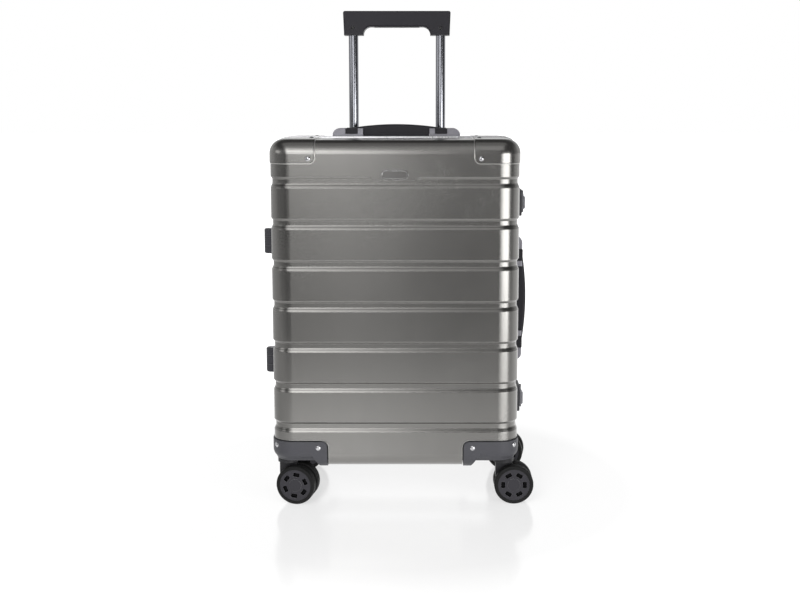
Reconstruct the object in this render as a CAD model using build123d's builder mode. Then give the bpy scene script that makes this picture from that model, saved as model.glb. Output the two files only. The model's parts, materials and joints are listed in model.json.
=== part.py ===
from build123d import *

import os

# Hard-shell aluminium cabin suitcase on four twin-wheel casters, with a telescopic trolley.
# Millimetres. X runs to the right seen from the front, Y to the back, Z up. The origin is on the
# floor, under the middle of the closed case, and y = 0 is the plane where the two halves part.

# Case
CASE_WIDTH = 360.0
HALF_DEPTH = 110.0
SHELL_BOTTOM = 58.0
SHELL_HEIGHT = 479.0
SHELL_WALL = 1.2
CORNER_RADIUS = 20.0
EDGE_RADIUS = 30.0

# Horizontal grooves pressed into the walls of both shells
GROOVE_COUNT = 7
GROOVE_FIRST_UP = 53.2
GROOVE_LAST_DOWN = 68.2
GROOVE_DEPTH = 2.5
GROOVE_LOWER_SLOPE = 5.9
GROOVE_FLOOR = 6.4
GROOVE_UPPER_SLOPE = 3.3

# Aluminium frame around the mouth of each half
FRAME_SEAT = 9.0
FRAME_LIP = 4.0
FRAME_PROUD = 2.5
FRAME_INSIDE = 8.0
FRAME_EDGE = 1.0
PARTING_GAP = 0.4

# Guards on the top corners, and rivets
GUARD_WIDTH = 65.0
GUARD_HEIGHT = 32.4
GUARD_WALL = 1.1
GUARD_CORNER = 7.0
GUARD_GAP = 0.3
GUARD_RIVET_ACROSS = 8.0
GUARD_RIVET_UP = 6.0
RIVET_HEAD_RADIUS = 3.9
RIVET_HEAD_HEIGHT = 1.6
RIVET_SHANK_RADIUS = 1.6
RIVET_END = 0.8

# Plastic caster housings that fill the bottom corners
HOUSING_WIDTH = 80.0
HOUSING_DEPTH = 70.0
HOUSING_HEIGHT = 39.2
HOUSING_PROUD = 1.8
HOUSING_WALL = 2.5
HOUSING_CORNER = 9.0
HOUSING_RIM = 13.0
HOUSING_GAP = 1.5
HOUSING_FLANGE = 8.0
HOUSING_RIVET_ACROSS = 13.0
HOUSING_RIVET_DOWN = 9.0
CORNER_RIVET_DOWN = 7.0
CORNER_RIVET_ANGLE = 51.0
DECK_RISE = 10.0
DECK_THICKNESS = 5.0
RECESS_MARGIN = 10.0
RECESS_DRAFT = 31.0

# Casters
CASTER_SIDE_INSET = 20.0
CASTER_FACE_INSET = 26.0
CASTER_TRAIL = 15.0
WHEEL_RADIUS = 29.0
WHEEL_WIDTH = 13.0
WHEEL_EDGE = 2.5
TREAD_THICKNESS = 5.5
TREAD_GROOVES = 3
TREAD_GROOVE_PITCH = 2.4
TREAD_GROOVE_WIDTH = 0.8
TREAD_GROOVE_DEPTH = 0.7
HUB_INSET = 0.5
HUB_WINDOWS = 6
HUB_WINDOW_RADIUS = 16.0
HUB_WINDOW_HEIGHT = 6.0
HUB_WINDOW_WIDTH = 9.5
HUB_WINDOW_DEPTH = 5.0
HUB_WINDOW_CORNER = 1.5
HUB_CAP_RADIUS = 9.4
HUB_CAP_DEPTH = 0.3
HUB_BACK = 2.0
ARM_WIDTH = 9.4
ARM_NECK = 23.5
ARM_DROP = 26.0
ARM_BOSS_RADIUS = 10.0
AXLE_RADIUS = 3.0
SWIVEL_HEAD_RADIUS = 15.0
SWIVEL_HEAD_HEIGHT = 6.0
STEM_RADIUS = 5.0
STEM_HEAD_RADIUS = 7.5
STEM_HEAD_HEIGHT = 2.5
RUNNING_CLEARANCE = 0.05
MOVING_GAP = 0.3
SWIVEL_AT_REST = {"front_left": -10.0, "front_right": 0.0, "rear_left": -12.0, "rear_right": -9.0}
ROLL_AT_REST = {"front_left": 37.0, "front_right": 0.0, "rear_left": 20.0, "rear_right": 10.0}

# Hinges on the left side and latches on the right side
SIDE_DROP = 8.5
HINGE_SPREAD = 92.0
HINGE_HEIGHT = 37.5
HINGE_MIDDLE = 14.0
HINGE_RADIUS = 9.0
HINGE_PIN_RADIUS = 2.5
HINGE_LEAF = 2.0
HINGE_EDGE = 1.2
LATCH_SPREAD = 151.0
LATCH_HEIGHT = 40.0
LATCH_RISE = 7.1
LATCH_BACK = 27.0
LATCH_EDGE = 1.5
KEEPER_FRONT = 13.0
LEVER_HEIGHT = 27.0
LEVER_PLATE = 2.2
LEVER_RIDGE = 2.6
LEVER_RIDGE_HEIGHT = 19.0
LEVER_PIVOT = 10.0
LEVER_REACH = 21.0
LEVER_KNUCKLE_RADIUS = 1.7
LEVER_PIN_RADIUS = 1.0
LEVER_EAR = 3.0
LEVER_EAR_ROOT = 1.0
DIAL_COUNT = 3
DIAL_PITCH = 6.4
DIAL_WIDTH = 5.0
DIAL_RADIUS = 5.0
DIAL_SHOW = 1.4
DIAL_BACK = 20.5
DIAL_SPINDLE_RADIUS = 1.5
DIAL_SPINDLE_END = 2.0
DIAL_FLUTES = 10
DIAL_FLUTE_RADIUS = 0.5

# Carry handles, one on the top and one on the right side
HANDLE_LENGTH = 194.0
HANDLE_BACK = 28.0
BRACKET_LENGTH = 46.5
BRACKET_WIDTH = 26.0
BRACKET_HEIGHT = 13.7
BRACKET_ROUND = 11.0
BRACKET_FLOOR = 5.0
BRACKET_EDGE = 1.5
BRACKET_RING = 8.0
LUG_LENGTH = 19.0
LUG_RISE = 0.5
LUG_EDGE = 2.0
BAR_WIDTH = 18.0
BAR_CLEAR = 1.0
BAR_CROWN = 5.5
BAR_EDGE = 3.5
HANDLE_LIFT = 12.0
HANDLE_STEM_RADIUS = 3.0
HANDLE_STEM_HEAD_RADIUS = 5.0
HANDLE_STEM_HEAD = 2.0

# Telescopic trolley
TROLLEY_FACE_INSET = 22.0
POLE_INSET = 112.0
INNER_TUBE_RADIUS = 7.5
TUBE_WALL = 1.0
SLIDE_CLEARANCE = 0.25
MIDDLE_TUBE_LENGTH = 307.0
INNER_TUBE_LENGTH = 322.0
GRIP_RAISED = 193.0
GRIP_OVERHANG = 15.5
GRIP_TAPER = 1.5
GRIP_DEPTH = 26.0
GRIP_BAR = 24.0
GRIP_HEIGHT = 37.0
GRIP_LEG = 16.0
GRIP_CORNER = 3.0
THROAT_CORNER = 12.0
GRIP_EDGE = 2.5
TUBE_SOCKET = 18.0
GRIP_SCREW_RADIUS = 2.6
GRIP_SCREW_UP = 11.0
GRIP_SCREW_SINK = 1.0
GRIP_SCREW_LENGTH = 1.6
GRIP_SCREW_GAP = 0.2
BUTTON_MARGIN = 17.0
BUTTON_WIDTH = 12.0
BUTTON_HEIGHT = 9.0
BUTTON_PROUD = 1.0
BUTTON_TRAVEL = 3.0
BUTTON_CORNER = 2.0
CUP_MARGIN = 1.5
CUP_DEPTH = 24.0
CUP_WALL = 2.0
CLAMP_HEIGHT = 24.0
CLAMP_WIDTH = 34.0
CLAMP_WALL = 3.0
CLAMP_UP = 7.0

# Badge and linings
BADGE_LENGTH = 40.0
BADGE_HEIGHT = 15.4
BADGE_DOWN = 49.0
BADGE_THICKNESS = 1.2
BADGE_RIM = 2.4
BADGE_RECESS = 0.6
APRON_TOP_WIDTH = 70.0
APRON_BOTTOM_WIDTH = 56.0
APRON_DROP = 5.0
LINING_WALL = 1.0
LINING_GAP = 0.3
HARDWARE_MARGIN = 4.0

# Values worked out from the driving dimensions
HALVES = {"front": -1, "rear": 1}
HALF_WIDTH = CASE_WIDTH / 2
SHELL_TOP = SHELL_BOTTOM + SHELL_HEIGHT
SHELL_MIDDLE = SHELL_BOTTOM + SHELL_HEIGHT / 2
SHELL_INSET = SHELL_WALL + GROOVE_DEPTH
GROOVE_PITCH = (SHELL_HEIGHT - GROOVE_FIRST_UP - GROOVE_LAST_DOWN) / (GROOVE_COUNT - 1)
GROOVE_LIPS = [SHELL_BOTTOM + GROOVE_FIRST_UP + i * GROOVE_PITCH for i in range(GROOVE_COUNT)]
GROOVE_HEIGHT = GROOVE_LOWER_SLOPE + GROOVE_FLOOR + GROOVE_UPPER_SLOPE
FRAME_REACH = FRAME_SEAT + FRAME_LIP
FRAME_SIDE = HALF_WIDTH + FRAME_PROUD
HOUSING_TOP = SHELL_BOTTOM + HOUSING_HEIGHT
DECK_BOTTOM = SHELL_BOTTOM + DECK_RISE
DECK_TOP = DECK_BOTTOM + DECK_THICKNESS
CASTER_X = HALF_WIDTH - CASTER_SIDE_INSET
CASTER_Y = HALF_DEPTH - CASTER_FACE_INSET
WHEEL_OFFSET = ARM_WIDTH / 2 + MOVING_GAP + WHEEL_WIDTH / 2
HUB_RADIUS = WHEEL_RADIUS - TREAD_THICKNESS
HUB_WIDTH = WHEEL_WIDTH - 2 * HUB_INSET
SIDE_CENTRE = SHELL_MIDDLE - SIDE_DROP
HINGE_X = -(FRAME_SIDE + MOVING_GAP + HINGE_RADIUS)
LATCH_FACE = FRAME_SIDE + LATCH_RISE
LEVER_X = LATCH_FACE + MOVING_GAP + LEVER_KNUCKLE_RADIUS
DIAL_X = LATCH_FACE + DIAL_SHOW - DIAL_RADIUS
MIDDLE_TUBE_RADIUS = INNER_TUBE_RADIUS + SLIDE_CLEARANCE + TUBE_WALL
OUTER_TUBE_RADIUS = MIDDLE_TUBE_RADIUS + SLIDE_CLEARANCE + TUBE_WALL
TROLLEY_BACK = HALF_DEPTH - TROLLEY_FACE_INSET
POLE_X = HALF_WIDTH - POLE_INSET
GRIP_WIDTH = 2 * (POLE_X + GRIP_OVERHANG)
GRIP_THROAT = 2 * (POLE_X - GRIP_LEG)
BUTTON_LENGTH = GRIP_THROAT - 2 * BUTTON_MARGIN
GRIP_TOP = SHELL_TOP + GRIP_RAISED
GRIP_BOTTOM = GRIP_TOP - GRIP_HEIGHT
GRIP_UNDERSIDE = GRIP_TOP - GRIP_BAR
CUP_FLOOR = SHELL_TOP - CUP_DEPTH + CUP_WALL
CUP_LENGTH = GRIP_WIDTH + 2 * CUP_MARGIN + 2 * CUP_WALL
CUP_WIDTH = GRIP_DEPTH + 2 * CUP_MARGIN + 2 * CUP_WALL
CLAMP_BOTTOM = SHELL_BOTTOM + CORNER_RADIUS + CLAMP_UP
LINING_CORNER = CORNER_RADIUS - SHELL_INSET - LINING_GAP
LINING_EDGE = EDGE_RADIUS - SHELL_INSET - LINING_GAP
HARDWARE_ROOM = SHELL_INSET + HANDLE_LIFT + MOVING_GAP + HANDLE_STEM_HEAD + HARDWARE_MARGIN
LUG_INNER = HANDLE_LENGTH / 2 - BRACKET_LENGTH + BRACKET_RING
LUG_CENTRE = LUG_INNER + LUG_LENGTH / 2
OVERCUT = 20.0

os.makedirs("parts", exist_ok=True)


def write(piece, node):
    """Labels a finished piece and writes it under its node's name."""
    piece.part.label = node
    export_step(piece.part, f"parts/{node}.step")


def rounded_block(side, across, up, along, edge, roll):
    """Block with two rounded upright edges and rolled rims, open-ended towards the parting plane."""
    left, right = across
    low, high = up
    start, back = along
    with BuildPart() as block:
        with BuildSketch(Plane.XY.offset(low)) as plan:
            with Locations(((left + right) / 2, side * (start + back) / 2)):
                Rectangle(right - left, back - start)
            fillet(plan.vertices().filter_by(lambda corner: corner.Y * side > (start + back) / 2), edge)
        extrude(amount=high - low)
        rims = [rim for face in block.faces().filter_by(Axis.Z) for rim in face.edges()]
        fillet([rim for rim in rims if rim.center().Y * side > start + PARTING_GAP], roll)
    return block.part


def half_block(side, grow, start):
    """Solid block of one case half, grown outwards, from start to its rounded face."""
    return rounded_block(
        side,
        (-HALF_WIDTH - grow, HALF_WIDTH + grow),
        (SHELL_BOTTOM - grow, SHELL_TOP + grow),
        (start, HALF_DEPTH + grow),
        EDGE_RADIUS + grow,
        CORNER_RADIUS + grow,
    )


def groove_band(side, lip, extra):
    """Band swept around the walls of a half, as deep as a groove and extra on each side."""
    corners = [(-HALF_WIDTH, FRAME_SEAT), (-HALF_WIDTH, HALF_DEPTH)]
    corners += [(-x, y) for x, y in reversed(corners)]
    over = GROOVE_DEPTH
    with BuildPart() as band:
        with BuildLine(Plane.XY.offset(lip)) as path:
            FilletPolyline(*[(x, side * y) for x, y in corners], radius=EDGE_RADIUS)
        start = Plane((-HALF_WIDTH, side * FRAME_SEAT, lip), x_dir=(-side, 0, 0), z_dir=(0, side, 0))
        with BuildSketch(start):
            with BuildLine():
                Polyline(
                    (side * over, -extra - GROOVE_LOWER_SLOPE),
                    (-side * (GROOVE_DEPTH + extra), GROOVE_LOWER_SLOPE - extra),
                    (-side * (GROOVE_DEPTH + extra), GROOVE_LOWER_SLOPE + GROOVE_FLOOR + extra),
                    (side * over, GROOVE_HEIGHT + extra + GROOVE_UPPER_SLOPE),
                    close=True,
                )
            make_face()
        sweep(path=path.wires()[0])
    return band.part


def housing_region(side, hand, grow):
    """Block of space at a bottom corner that a caster housing takes, grown inwards."""
    width = HOUSING_WIDTH + grow + OVERCUT
    depth = HOUSING_DEPTH + grow + OVERCUT
    height = HOUSING_HEIGHT + grow + OVERCUT
    inner_x = hand * (HALF_WIDTH - HOUSING_WIDTH - grow)
    inner_y = side * (HALF_DEPTH - HOUSING_DEPTH - grow)
    with BuildPart() as region:
        middle = (inner_x + hand * width / 2, inner_y + side * depth / 2)
        with Locations((*middle, HOUSING_TOP + grow - height / 2)):
            Box(width, depth, height)
        roof = region.faces().sort_by(Axis.Z)[-1].edges()
        across = roof.filter_by(Axis.Y).sort_by(lambda edge: abs(edge.center().X))[0]
        along = roof.filter_by(Axis.X).sort_by(lambda edge: abs(edge.center().Y))[0]
        fillet([across, along], HOUSING_CORNER + grow)
    return region.part


def rivet_planes(side):
    """Planes that the rivets of one half sit on, their normals pointing outwards."""
    planes = []
    for hand in (-1, 1):
        guard_x = hand * (HALF_WIDTH - GUARD_WIDTH + GUARD_RIVET_ACROSS)
        guard_y = side * (FRAME_REACH + HALF_DEPTH - EDGE_RADIUS) / 2
        guard_z = SHELL_TOP - GUARD_HEIGHT + GUARD_RIVET_UP
        planes += [
            Plane((guard_x, side * (HALF_DEPTH + GUARD_WALL), guard_z), z_dir=(0, side, 0)),
            Plane((guard_x, guard_y, SHELL_TOP + GUARD_WALL), z_dir=(0, 0, 1)),
        ]
        house_x = hand * (HALF_WIDTH - HOUSING_WIDTH + HOUSING_RIVET_ACROSS)
        house_y = side * (HALF_DEPTH - HOUSING_DEPTH + HOUSING_RIVET_ACROSS)
        house_z = HOUSING_TOP - HOUSING_RIVET_DOWN
        turn = Vector(0, side, 0).rotate(Axis.Z, -hand * side * CORNER_RIVET_ANGLE)
        corner_z = HOUSING_TOP - CORNER_RIVET_DOWN
        centre = Vector(hand * (HALF_WIDTH - EDGE_RADIUS), side * (HALF_DEPTH - EDGE_RADIUS), corner_z)
        planes += [
            Plane((house_x, side * (HALF_DEPTH + HOUSING_PROUD), house_z), z_dir=(0, side, 0)),
            Plane((hand * (HALF_WIDTH + HOUSING_PROUD), house_y, house_z), z_dir=(hand, 0, 0)),
            Plane(centre + turn * (EDGE_RADIUS + HOUSING_PROUD), z_dir=turn),
        ]
    return planes


def rivet_shape():
    """One domed rivet, its head's seat at z = 0 and its shank below."""
    crown = (RIVET_HEAD_RADIUS ** 2 + RIVET_HEAD_HEIGHT ** 2) / (2 * RIVET_HEAD_HEIGHT)
    with BuildPart() as rivet:
        with Locations((0, 0, RIVET_HEAD_HEIGHT - crown)):
            Sphere(crown)
        Box(2 * crown, 2 * crown, crown, mode=Mode.INTERSECT, align=(Align.CENTER, Align.CENTER, Align.MIN))
        Cylinder(RIVET_SHANK_RADIUS, GUARD_WALL + SHELL_WALL + RIVET_END,
                 align=(Align.CENTER, Align.CENTER, Align.MAX))
    return rivet.part


def rivet_holes(side):
    """Shank holes for every rivet of one half."""
    with BuildPart() as holes:
        with Locations(*rivet_planes(side)):
            Cylinder(RIVET_SHANK_RADIUS, 2 * (GUARD_WALL + SHELL_WALL + RIVET_END))
    return holes.part


def bracket_pair():
    """Two end brackets of a carry handle, along X, standing up from z = 0."""
    end = HANDLE_LENGTH / 2
    start = end - BRACKET_LENGTH
    with BuildPart() as pair:
        with BuildSketch(Plane.XZ) as outline:
            with Locations(((start + end) / 2, BRACKET_HEIGHT / 2)):
                Rectangle(BRACKET_LENGTH, BRACKET_HEIGHT)
            fillet(outline.vertices().group_by(Axis.Y)[-1].sort_by(Axis.X)[-1], BRACKET_ROUND)
        extrude(amount=BRACKET_WIDTH / 2, both=True)
        crest = pair.faces().sort_by(Axis.Z)[-1].edges().filter_by(Axis.X)
        fillet(crest, BRACKET_EDGE)
        with Locations((LUG_CENTRE, 0, BRACKET_FLOOR + OVERCUT / 2)):
            Box(LUG_LENGTH, BRACKET_WIDTH + OVERCUT, OVERCUT, mode=Mode.SUBTRACT)
        with Locations((start + BRACKET_RING / 2, 0, BRACKET_FLOOR + OVERCUT / 2)):
            Box(BRACKET_RING, BAR_WIDTH + 2 * MOVING_GAP, OVERCUT, mode=Mode.SUBTRACT)
        with Locations((LUG_CENTRE, 0, 0)):
            Cylinder(HANDLE_STEM_RADIUS + RUNNING_CLEARANCE, OVERCUT, mode=Mode.SUBTRACT)
        mirror(about=Plane.YZ)
    return pair.part


def handle_bar():
    """Carry handle that lifts out of its brackets: arched bar, end lugs and captive stems."""
    ring = LUG_INNER - BRACKET_RING - MOVING_GAP
    low = BRACKET_FLOOR + MOVING_GAP
    lug_top = BRACKET_HEIGHT + LUG_RISE
    head_top = -(SHELL_INSET + HANDLE_LIFT + MOVING_GAP)
    with BuildPart() as bar:
        with BuildSketch(Plane.XZ):
            with BuildLine():
                Polyline((-LUG_CENTRE, lug_top), (-LUG_CENTRE, low), (-ring, low), (-ring, BAR_CLEAR),
                         (ring, BAR_CLEAR), (ring, low), (LUG_CENTRE, low), (LUG_CENTRE, lug_top))
                ThreePointArc((-LUG_CENTRE, lug_top), (0, lug_top + BAR_CROWN), (LUG_CENTRE, lug_top))
            make_face()
        extrude(amount=BAR_WIDTH / 2, both=True)
        crown = bar.faces().sort_by(Axis.Z)[-1].edges().sort_by(Axis.Y)
        fillet([crown[0], crown[-1]], BAR_EDGE)
        lug = LUG_LENGTH - 2 * MOVING_GAP
        with BuildSketch(Plane.XZ) as lugs:
            with Locations((LUG_CENTRE, (low + lug_top) / 2), (-LUG_CENTRE, (low + lug_top) / 2)):
                Rectangle(lug, lug_top - low)
            fillet(lugs.vertices().group_by(Axis.Y)[-1], LUG_EDGE)
        extrude(amount=BRACKET_WIDTH / 2, both=True)
        with Locations((LUG_CENTRE, 0, low), (-LUG_CENTRE, 0, low)):
            Cylinder(HANDLE_STEM_RADIUS, low - head_top, align=(Align.CENTER, Align.CENTER, Align.MAX))
        with Locations((LUG_CENTRE, 0, head_top), (-LUG_CENTRE, 0, head_top)):
            Cylinder(HANDLE_STEM_HEAD_RADIUS, HANDLE_STEM_HEAD,
                     align=(Align.CENTER, Align.CENTER, Align.MAX))
    return bar.part


def latch_base(centre, dials):
    """Latch base on the rear frame, with ears for its lever and, if asked, slots for dials."""
    depth = LATCH_BACK - PARTING_GAP
    spindle = DIAL_COUNT * DIAL_PITCH + 2 * DIAL_SPINDLE_END
    with BuildPart() as base:
        with Locations((FRAME_SIDE, PARTING_GAP, centre)):
            Box(LATCH_RISE, depth, LATCH_HEIGHT, align=(Align.MIN, Align.MIN, Align.CENTER))
        rim = base.faces().sort_by(Axis.X)[-1].edges()
        fillet(rim.filter_by(lambda edge: edge.center().Y > PARTING_GAP + LATCH_EDGE), LATCH_EDGE)
        with Locations((FRAME_SIDE, FRAME_REACH + MOVING_GAP, centre)):
            Box(FRAME_PROUD, LATCH_BACK - FRAME_REACH - MOVING_GAP, LATCH_HEIGHT,
                align=(Align.MAX, Align.MIN, Align.CENTER))
        ear_offset = LEVER_HEIGHT / 2 + MOVING_GAP + LEVER_EAR / 2
        with BuildSketch(Plane.XY.offset(centre)):
            with Locations((LEVER_X, LEVER_PIVOT)):
                Circle(LEVER_KNUCKLE_RADIUS)
            with Locations((LATCH_FACE - LEVER_EAR_ROOT, LEVER_PIVOT)):
                Rectangle(LEVER_EAR_ROOT, 2 * LEVER_KNUCKLE_RADIUS)
            make_hull()
        extrude(amount=ear_offset + LEVER_EAR / 2, both=True)
        with Locations((LATCH_FACE, LEVER_PIVOT, centre)):
            Box(OVERCUT, OVERCUT / 2, LEVER_HEIGHT + 2 * MOVING_GAP, mode=Mode.SUBTRACT,
                align=(Align.MIN, Align.CENTER, Align.CENTER))
        with Locations((LEVER_X, LEVER_PIVOT, centre)):
            Cylinder(LEVER_PIN_RADIUS + RUNNING_CLEARANCE, LATCH_HEIGHT, mode=Mode.SUBTRACT)
        if dials:
            pocket = DIAL_RADIUS + MOVING_GAP
            with Locations(*[(DIAL_X, DIAL_BACK, centre + z) for z in DIAL_STEPS]):
                Cylinder(pocket, DIAL_WIDTH + 2 * MOVING_GAP, mode=Mode.SUBTRACT)
            with Locations((DIAL_X, DIAL_BACK, centre)):
                Cylinder(DIAL_SPINDLE_RADIUS, spindle)
    return base.part


DIAL_STEPS = [(i - (DIAL_COUNT - 1) / 2) * DIAL_PITCH for i in range(DIAL_COUNT)]


def caster_housing(side, hand, holes):
    """Plastic corner that carries a caster: rimmed body, foot, riveting flange and deck."""
    skin = half_block(side, HOUSING_PROUD, FRAME_REACH)
    body = rounded_block(
        side,
        (-HALF_WIDTH - HOUSING_PROUD, HALF_WIDTH + HOUSING_PROUD),
        (DECK_BOTTOM, SHELL_TOP),
        (FRAME_REACH, HALF_DEPTH + HOUSING_PROUD),
        EDGE_RADIUS + HOUSING_PROUD,
        HOUSING_RIM,
    )
    behind = half_block(side, -SHELL_WALL, FRAME_REACH)
    inside = half_block(side, -SHELL_WALL - HOUSING_WALL, FRAME_REACH)
    region = housing_region(side, hand, 0)
    flange = housing_region(side, hand, HOUSING_FLANGE)
    swivel = (hand * CASTER_X, side * CASTER_Y)
    recess_x = hand * (HALF_WIDTH - HOUSING_WIDTH + RECESS_MARGIN)
    recess_y = side * (HALF_DEPTH - HOUSING_DEPTH + RECESS_MARGIN)
    with BuildPart() as lip:
        add(behind)
        add(flange, mode=Mode.INTERSECT)
        with Locations((0, side * HALF_DEPTH, SHELL_BOTTOM)):
            Box(2 * CASE_WIDTH, 4 * HALF_DEPTH, 2 * DECK_RISE, mode=Mode.SUBTRACT)
    with BuildPart() as foot:
        add(skin)
        add(region, mode=Mode.INTERSECT)
        with BuildSketch(Plane.XY.offset(SHELL_BOTTOM - HOUSING_PROUD)):
            with Locations((recess_x + hand * HOUSING_WIDTH, recess_y + side * HOUSING_DEPTH)):
                Rectangle(2 * HOUSING_WIDTH, 2 * HOUSING_DEPTH)
        extrude(amount=HOUSING_PROUD + HOUSING_HEIGHT, taper=RECESS_DRAFT, mode=Mode.SUBTRACT)
    with BuildPart() as housing:
        add(body)
        add(region, mode=Mode.INTERSECT)
        add(foot.part)
        add(lip.part)
        with BuildPart(mode=Mode.PRIVATE) as hollow:
            add(inside)
            with Locations((0, side * HALF_DEPTH, DECK_TOP)):
                Box(2 * CASE_WIDTH, 4 * HALF_DEPTH, SHELL_HEIGHT, mode=Mode.INTERSECT,
                    align=(Align.CENTER, Align.CENTER, Align.MIN))
        add(hollow.part, mode=Mode.SUBTRACT)
        with Locations((*swivel, DECK_BOTTOM)):
            Cylinder(STEM_RADIUS + RUNNING_CLEARANCE, OVERCUT, mode=Mode.SUBTRACT)
        add(holes, mode=Mode.SUBTRACT)
    return housing.part


# The two shells, deep-drawn trays with pressed grooves
handle_holes = [(hand * LUG_CENTRE, HANDLE_BACK) for hand in (-1, 1)]
for half, side in HALVES.items():
    outer = half_block(side, 0, FRAME_SEAT)
    inner = half_block(side, -SHELL_WALL, FRAME_SEAT)
    grooves = [groove_band(side, lip, 0) for lip in GROOVE_LIPS]
    ridges = [groove_band(side, lip, SHELL_WALL) for lip in GROOVE_LIPS]
    corners = [housing_region(side, hand, HOUSING_GAP) for hand in (-1, 1)]
    holes = rivet_holes(side)
    with BuildPart() as cavity:
        add(inner)
        add(ridges, mode=Mode.SUBTRACT)
    with BuildPart() as shell:
        add(outer)
        add(grooves, mode=Mode.SUBTRACT)
        add(cavity.part, mode=Mode.SUBTRACT)
        add(corners, mode=Mode.SUBTRACT)
        add(holes, mode=Mode.SUBTRACT)
        if half == "front":
            top = GROOVE_LIPS[-1] + GROOVE_HEIGHT
            with BuildSketch(Plane.XZ.offset(HALF_DEPTH - GROOVE_DEPTH - SHELL_WALL / 2)):
                with BuildLine():
                    Polyline((-APRON_TOP_WIDTH / 2, top), (-APRON_BOTTOM_WIDTH / 2, top - APRON_DROP),
                             (APRON_BOTTOM_WIDTH / 2, top - APRON_DROP), (APRON_TOP_WIDTH / 2, top),
                             close=True)
                make_face()
            extrude(amount=GROOVE_DEPTH + SHELL_WALL / 2)
        else:
            side_place = Plane((HALF_WIDTH, 0, SIDE_CENTRE), (0, 0, -1), (1, 0, 0))
            for place in (Plane((0, 0, SHELL_TOP)), side_place):
                with Locations(*[place * Location((x, y, 0)) for x, y in handle_holes]):
                    Cylinder(HANDLE_STEM_RADIUS + RUNNING_CLEARANCE, OVERCUT, mode=Mode.SUBTRACT)
            with Locations((0, TROLLEY_BACK, SHELL_TOP - CUP_DEPTH)):
                Box(CUP_LENGTH, CUP_WIDTH, 2 * CUP_DEPTH, mode=Mode.SUBTRACT,
                    align=(Align.CENTER, Align.CENTER, Align.MIN))
    write(shell, f"{half}_shell")

    # Extruded frame around the mouth, its lip over the shell's edge
    with BuildPart() as frame:
        with BuildSketch(Plane.XZ.offset(-side * PARTING_GAP / 2)):
            with Locations((0, SHELL_MIDDLE)):
                RectangleRounded(CASE_WIDTH + 2 * FRAME_PROUD, SHELL_HEIGHT + 2 * FRAME_PROUD,
                                 CORNER_RADIUS + FRAME_PROUD)
        extrude(amount=FRAME_REACH - PARTING_GAP / 2, dir=(0, side, 0))
        ends = frame.faces().filter_by(Axis.Y)
        fillet(ends[0].edges() + ends[-1].edges(), FRAME_EDGE)
        with BuildSketch(Plane.XZ.offset(-side * PARTING_GAP / 2)):
            with Locations((0, SHELL_MIDDLE)):
                RectangleRounded(CASE_WIDTH - 2 * FRAME_INSIDE, SHELL_HEIGHT - 2 * FRAME_INSIDE,
                                 CORNER_RADIUS - FRAME_INSIDE)
        extrude(amount=FRAME_REACH, dir=(0, side, 0), mode=Mode.SUBTRACT)
        with BuildSketch(Plane.XZ.offset(-side * FRAME_SEAT)):
            with Locations((0, SHELL_MIDDLE)):
                RectangleRounded(CASE_WIDTH, SHELL_HEIGHT, CORNER_RADIUS)
        extrude(amount=FRAME_REACH, dir=(0, side, 0), mode=Mode.SUBTRACT)
    write(frame, f"{half}_frame")

    # Sheet guards over the two top corners
    skin = half_block(side, GUARD_WALL, FRAME_REACH + GUARD_GAP)
    with BuildPart() as guards:
        add(skin)
        add(outer, mode=Mode.SUBTRACT)
        with BuildSketch(Plane.XZ.offset(-side * FRAME_SEAT)) as patch:
            guard_x = HALF_WIDTH - GUARD_WIDTH / 2 + OVERCUT / 2
            guard_z = SHELL_TOP - GUARD_HEIGHT / 2 + OVERCUT / 2
            with Locations((guard_x, guard_z), (-guard_x, guard_z)):
                RectangleRounded(GUARD_WIDTH + OVERCUT, GUARD_HEIGHT + OVERCUT, GUARD_CORNER)
        extrude(amount=2 * HALF_DEPTH, dir=(0, side, 0), mode=Mode.INTERSECT)
        add(holes, mode=Mode.SUBTRACT)
    write(guards, f"{half}_corner_guards")

    # Caster housings in the two bottom corners
    pair = [caster_housing(side, hand, holes) for hand in (-1, 1)]
    with BuildPart() as housings:
        add(pair)
    write(housings, f"{half}_caster_housings")

    # Rivets of this half
    rivet = rivet_shape()
    with BuildPart() as rivets:
        with Locations(*rivet_planes(side)):
            add(rivet)
    write(rivets, f"{half}_rivets")

    # Fabric lining, a thin tray clear of the trolley and handle fittings
    left = -HALF_WIDTH + SHELL_INSET + LINING_GAP
    bottom = HOUSING_TOP + HOUSING_FLANGE + LINING_GAP
    if half == "front":
        right = -left
        roof = SHELL_TOP - SHELL_INSET - LINING_GAP
        back = HALF_DEPTH - SHELL_INSET - LINING_GAP
    else:
        right = HALF_WIDTH - HARDWARE_ROOM
        roof = SHELL_TOP - CUP_DEPTH - LINING_GAP
        back = TROLLEY_BACK - OUTER_TUBE_RADIUS - CLAMP_WALL - LINING_GAP
    trays = [
        rounded_block(
            side,
            (left + inset, right - inset),
            (bottom + inset, roof - inset),
            (FRAME_SEAT + LINING_GAP, back - inset),
            LINING_EDGE - inset,
            LINING_CORNER - inset,
        )
        for inset in (0, LINING_WALL)
    ]
    with BuildPart() as lining:
        add(trays[0])
        add(trays[1], mode=Mode.SUBTRACT)
    write(lining, f"{half}_lining")

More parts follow.
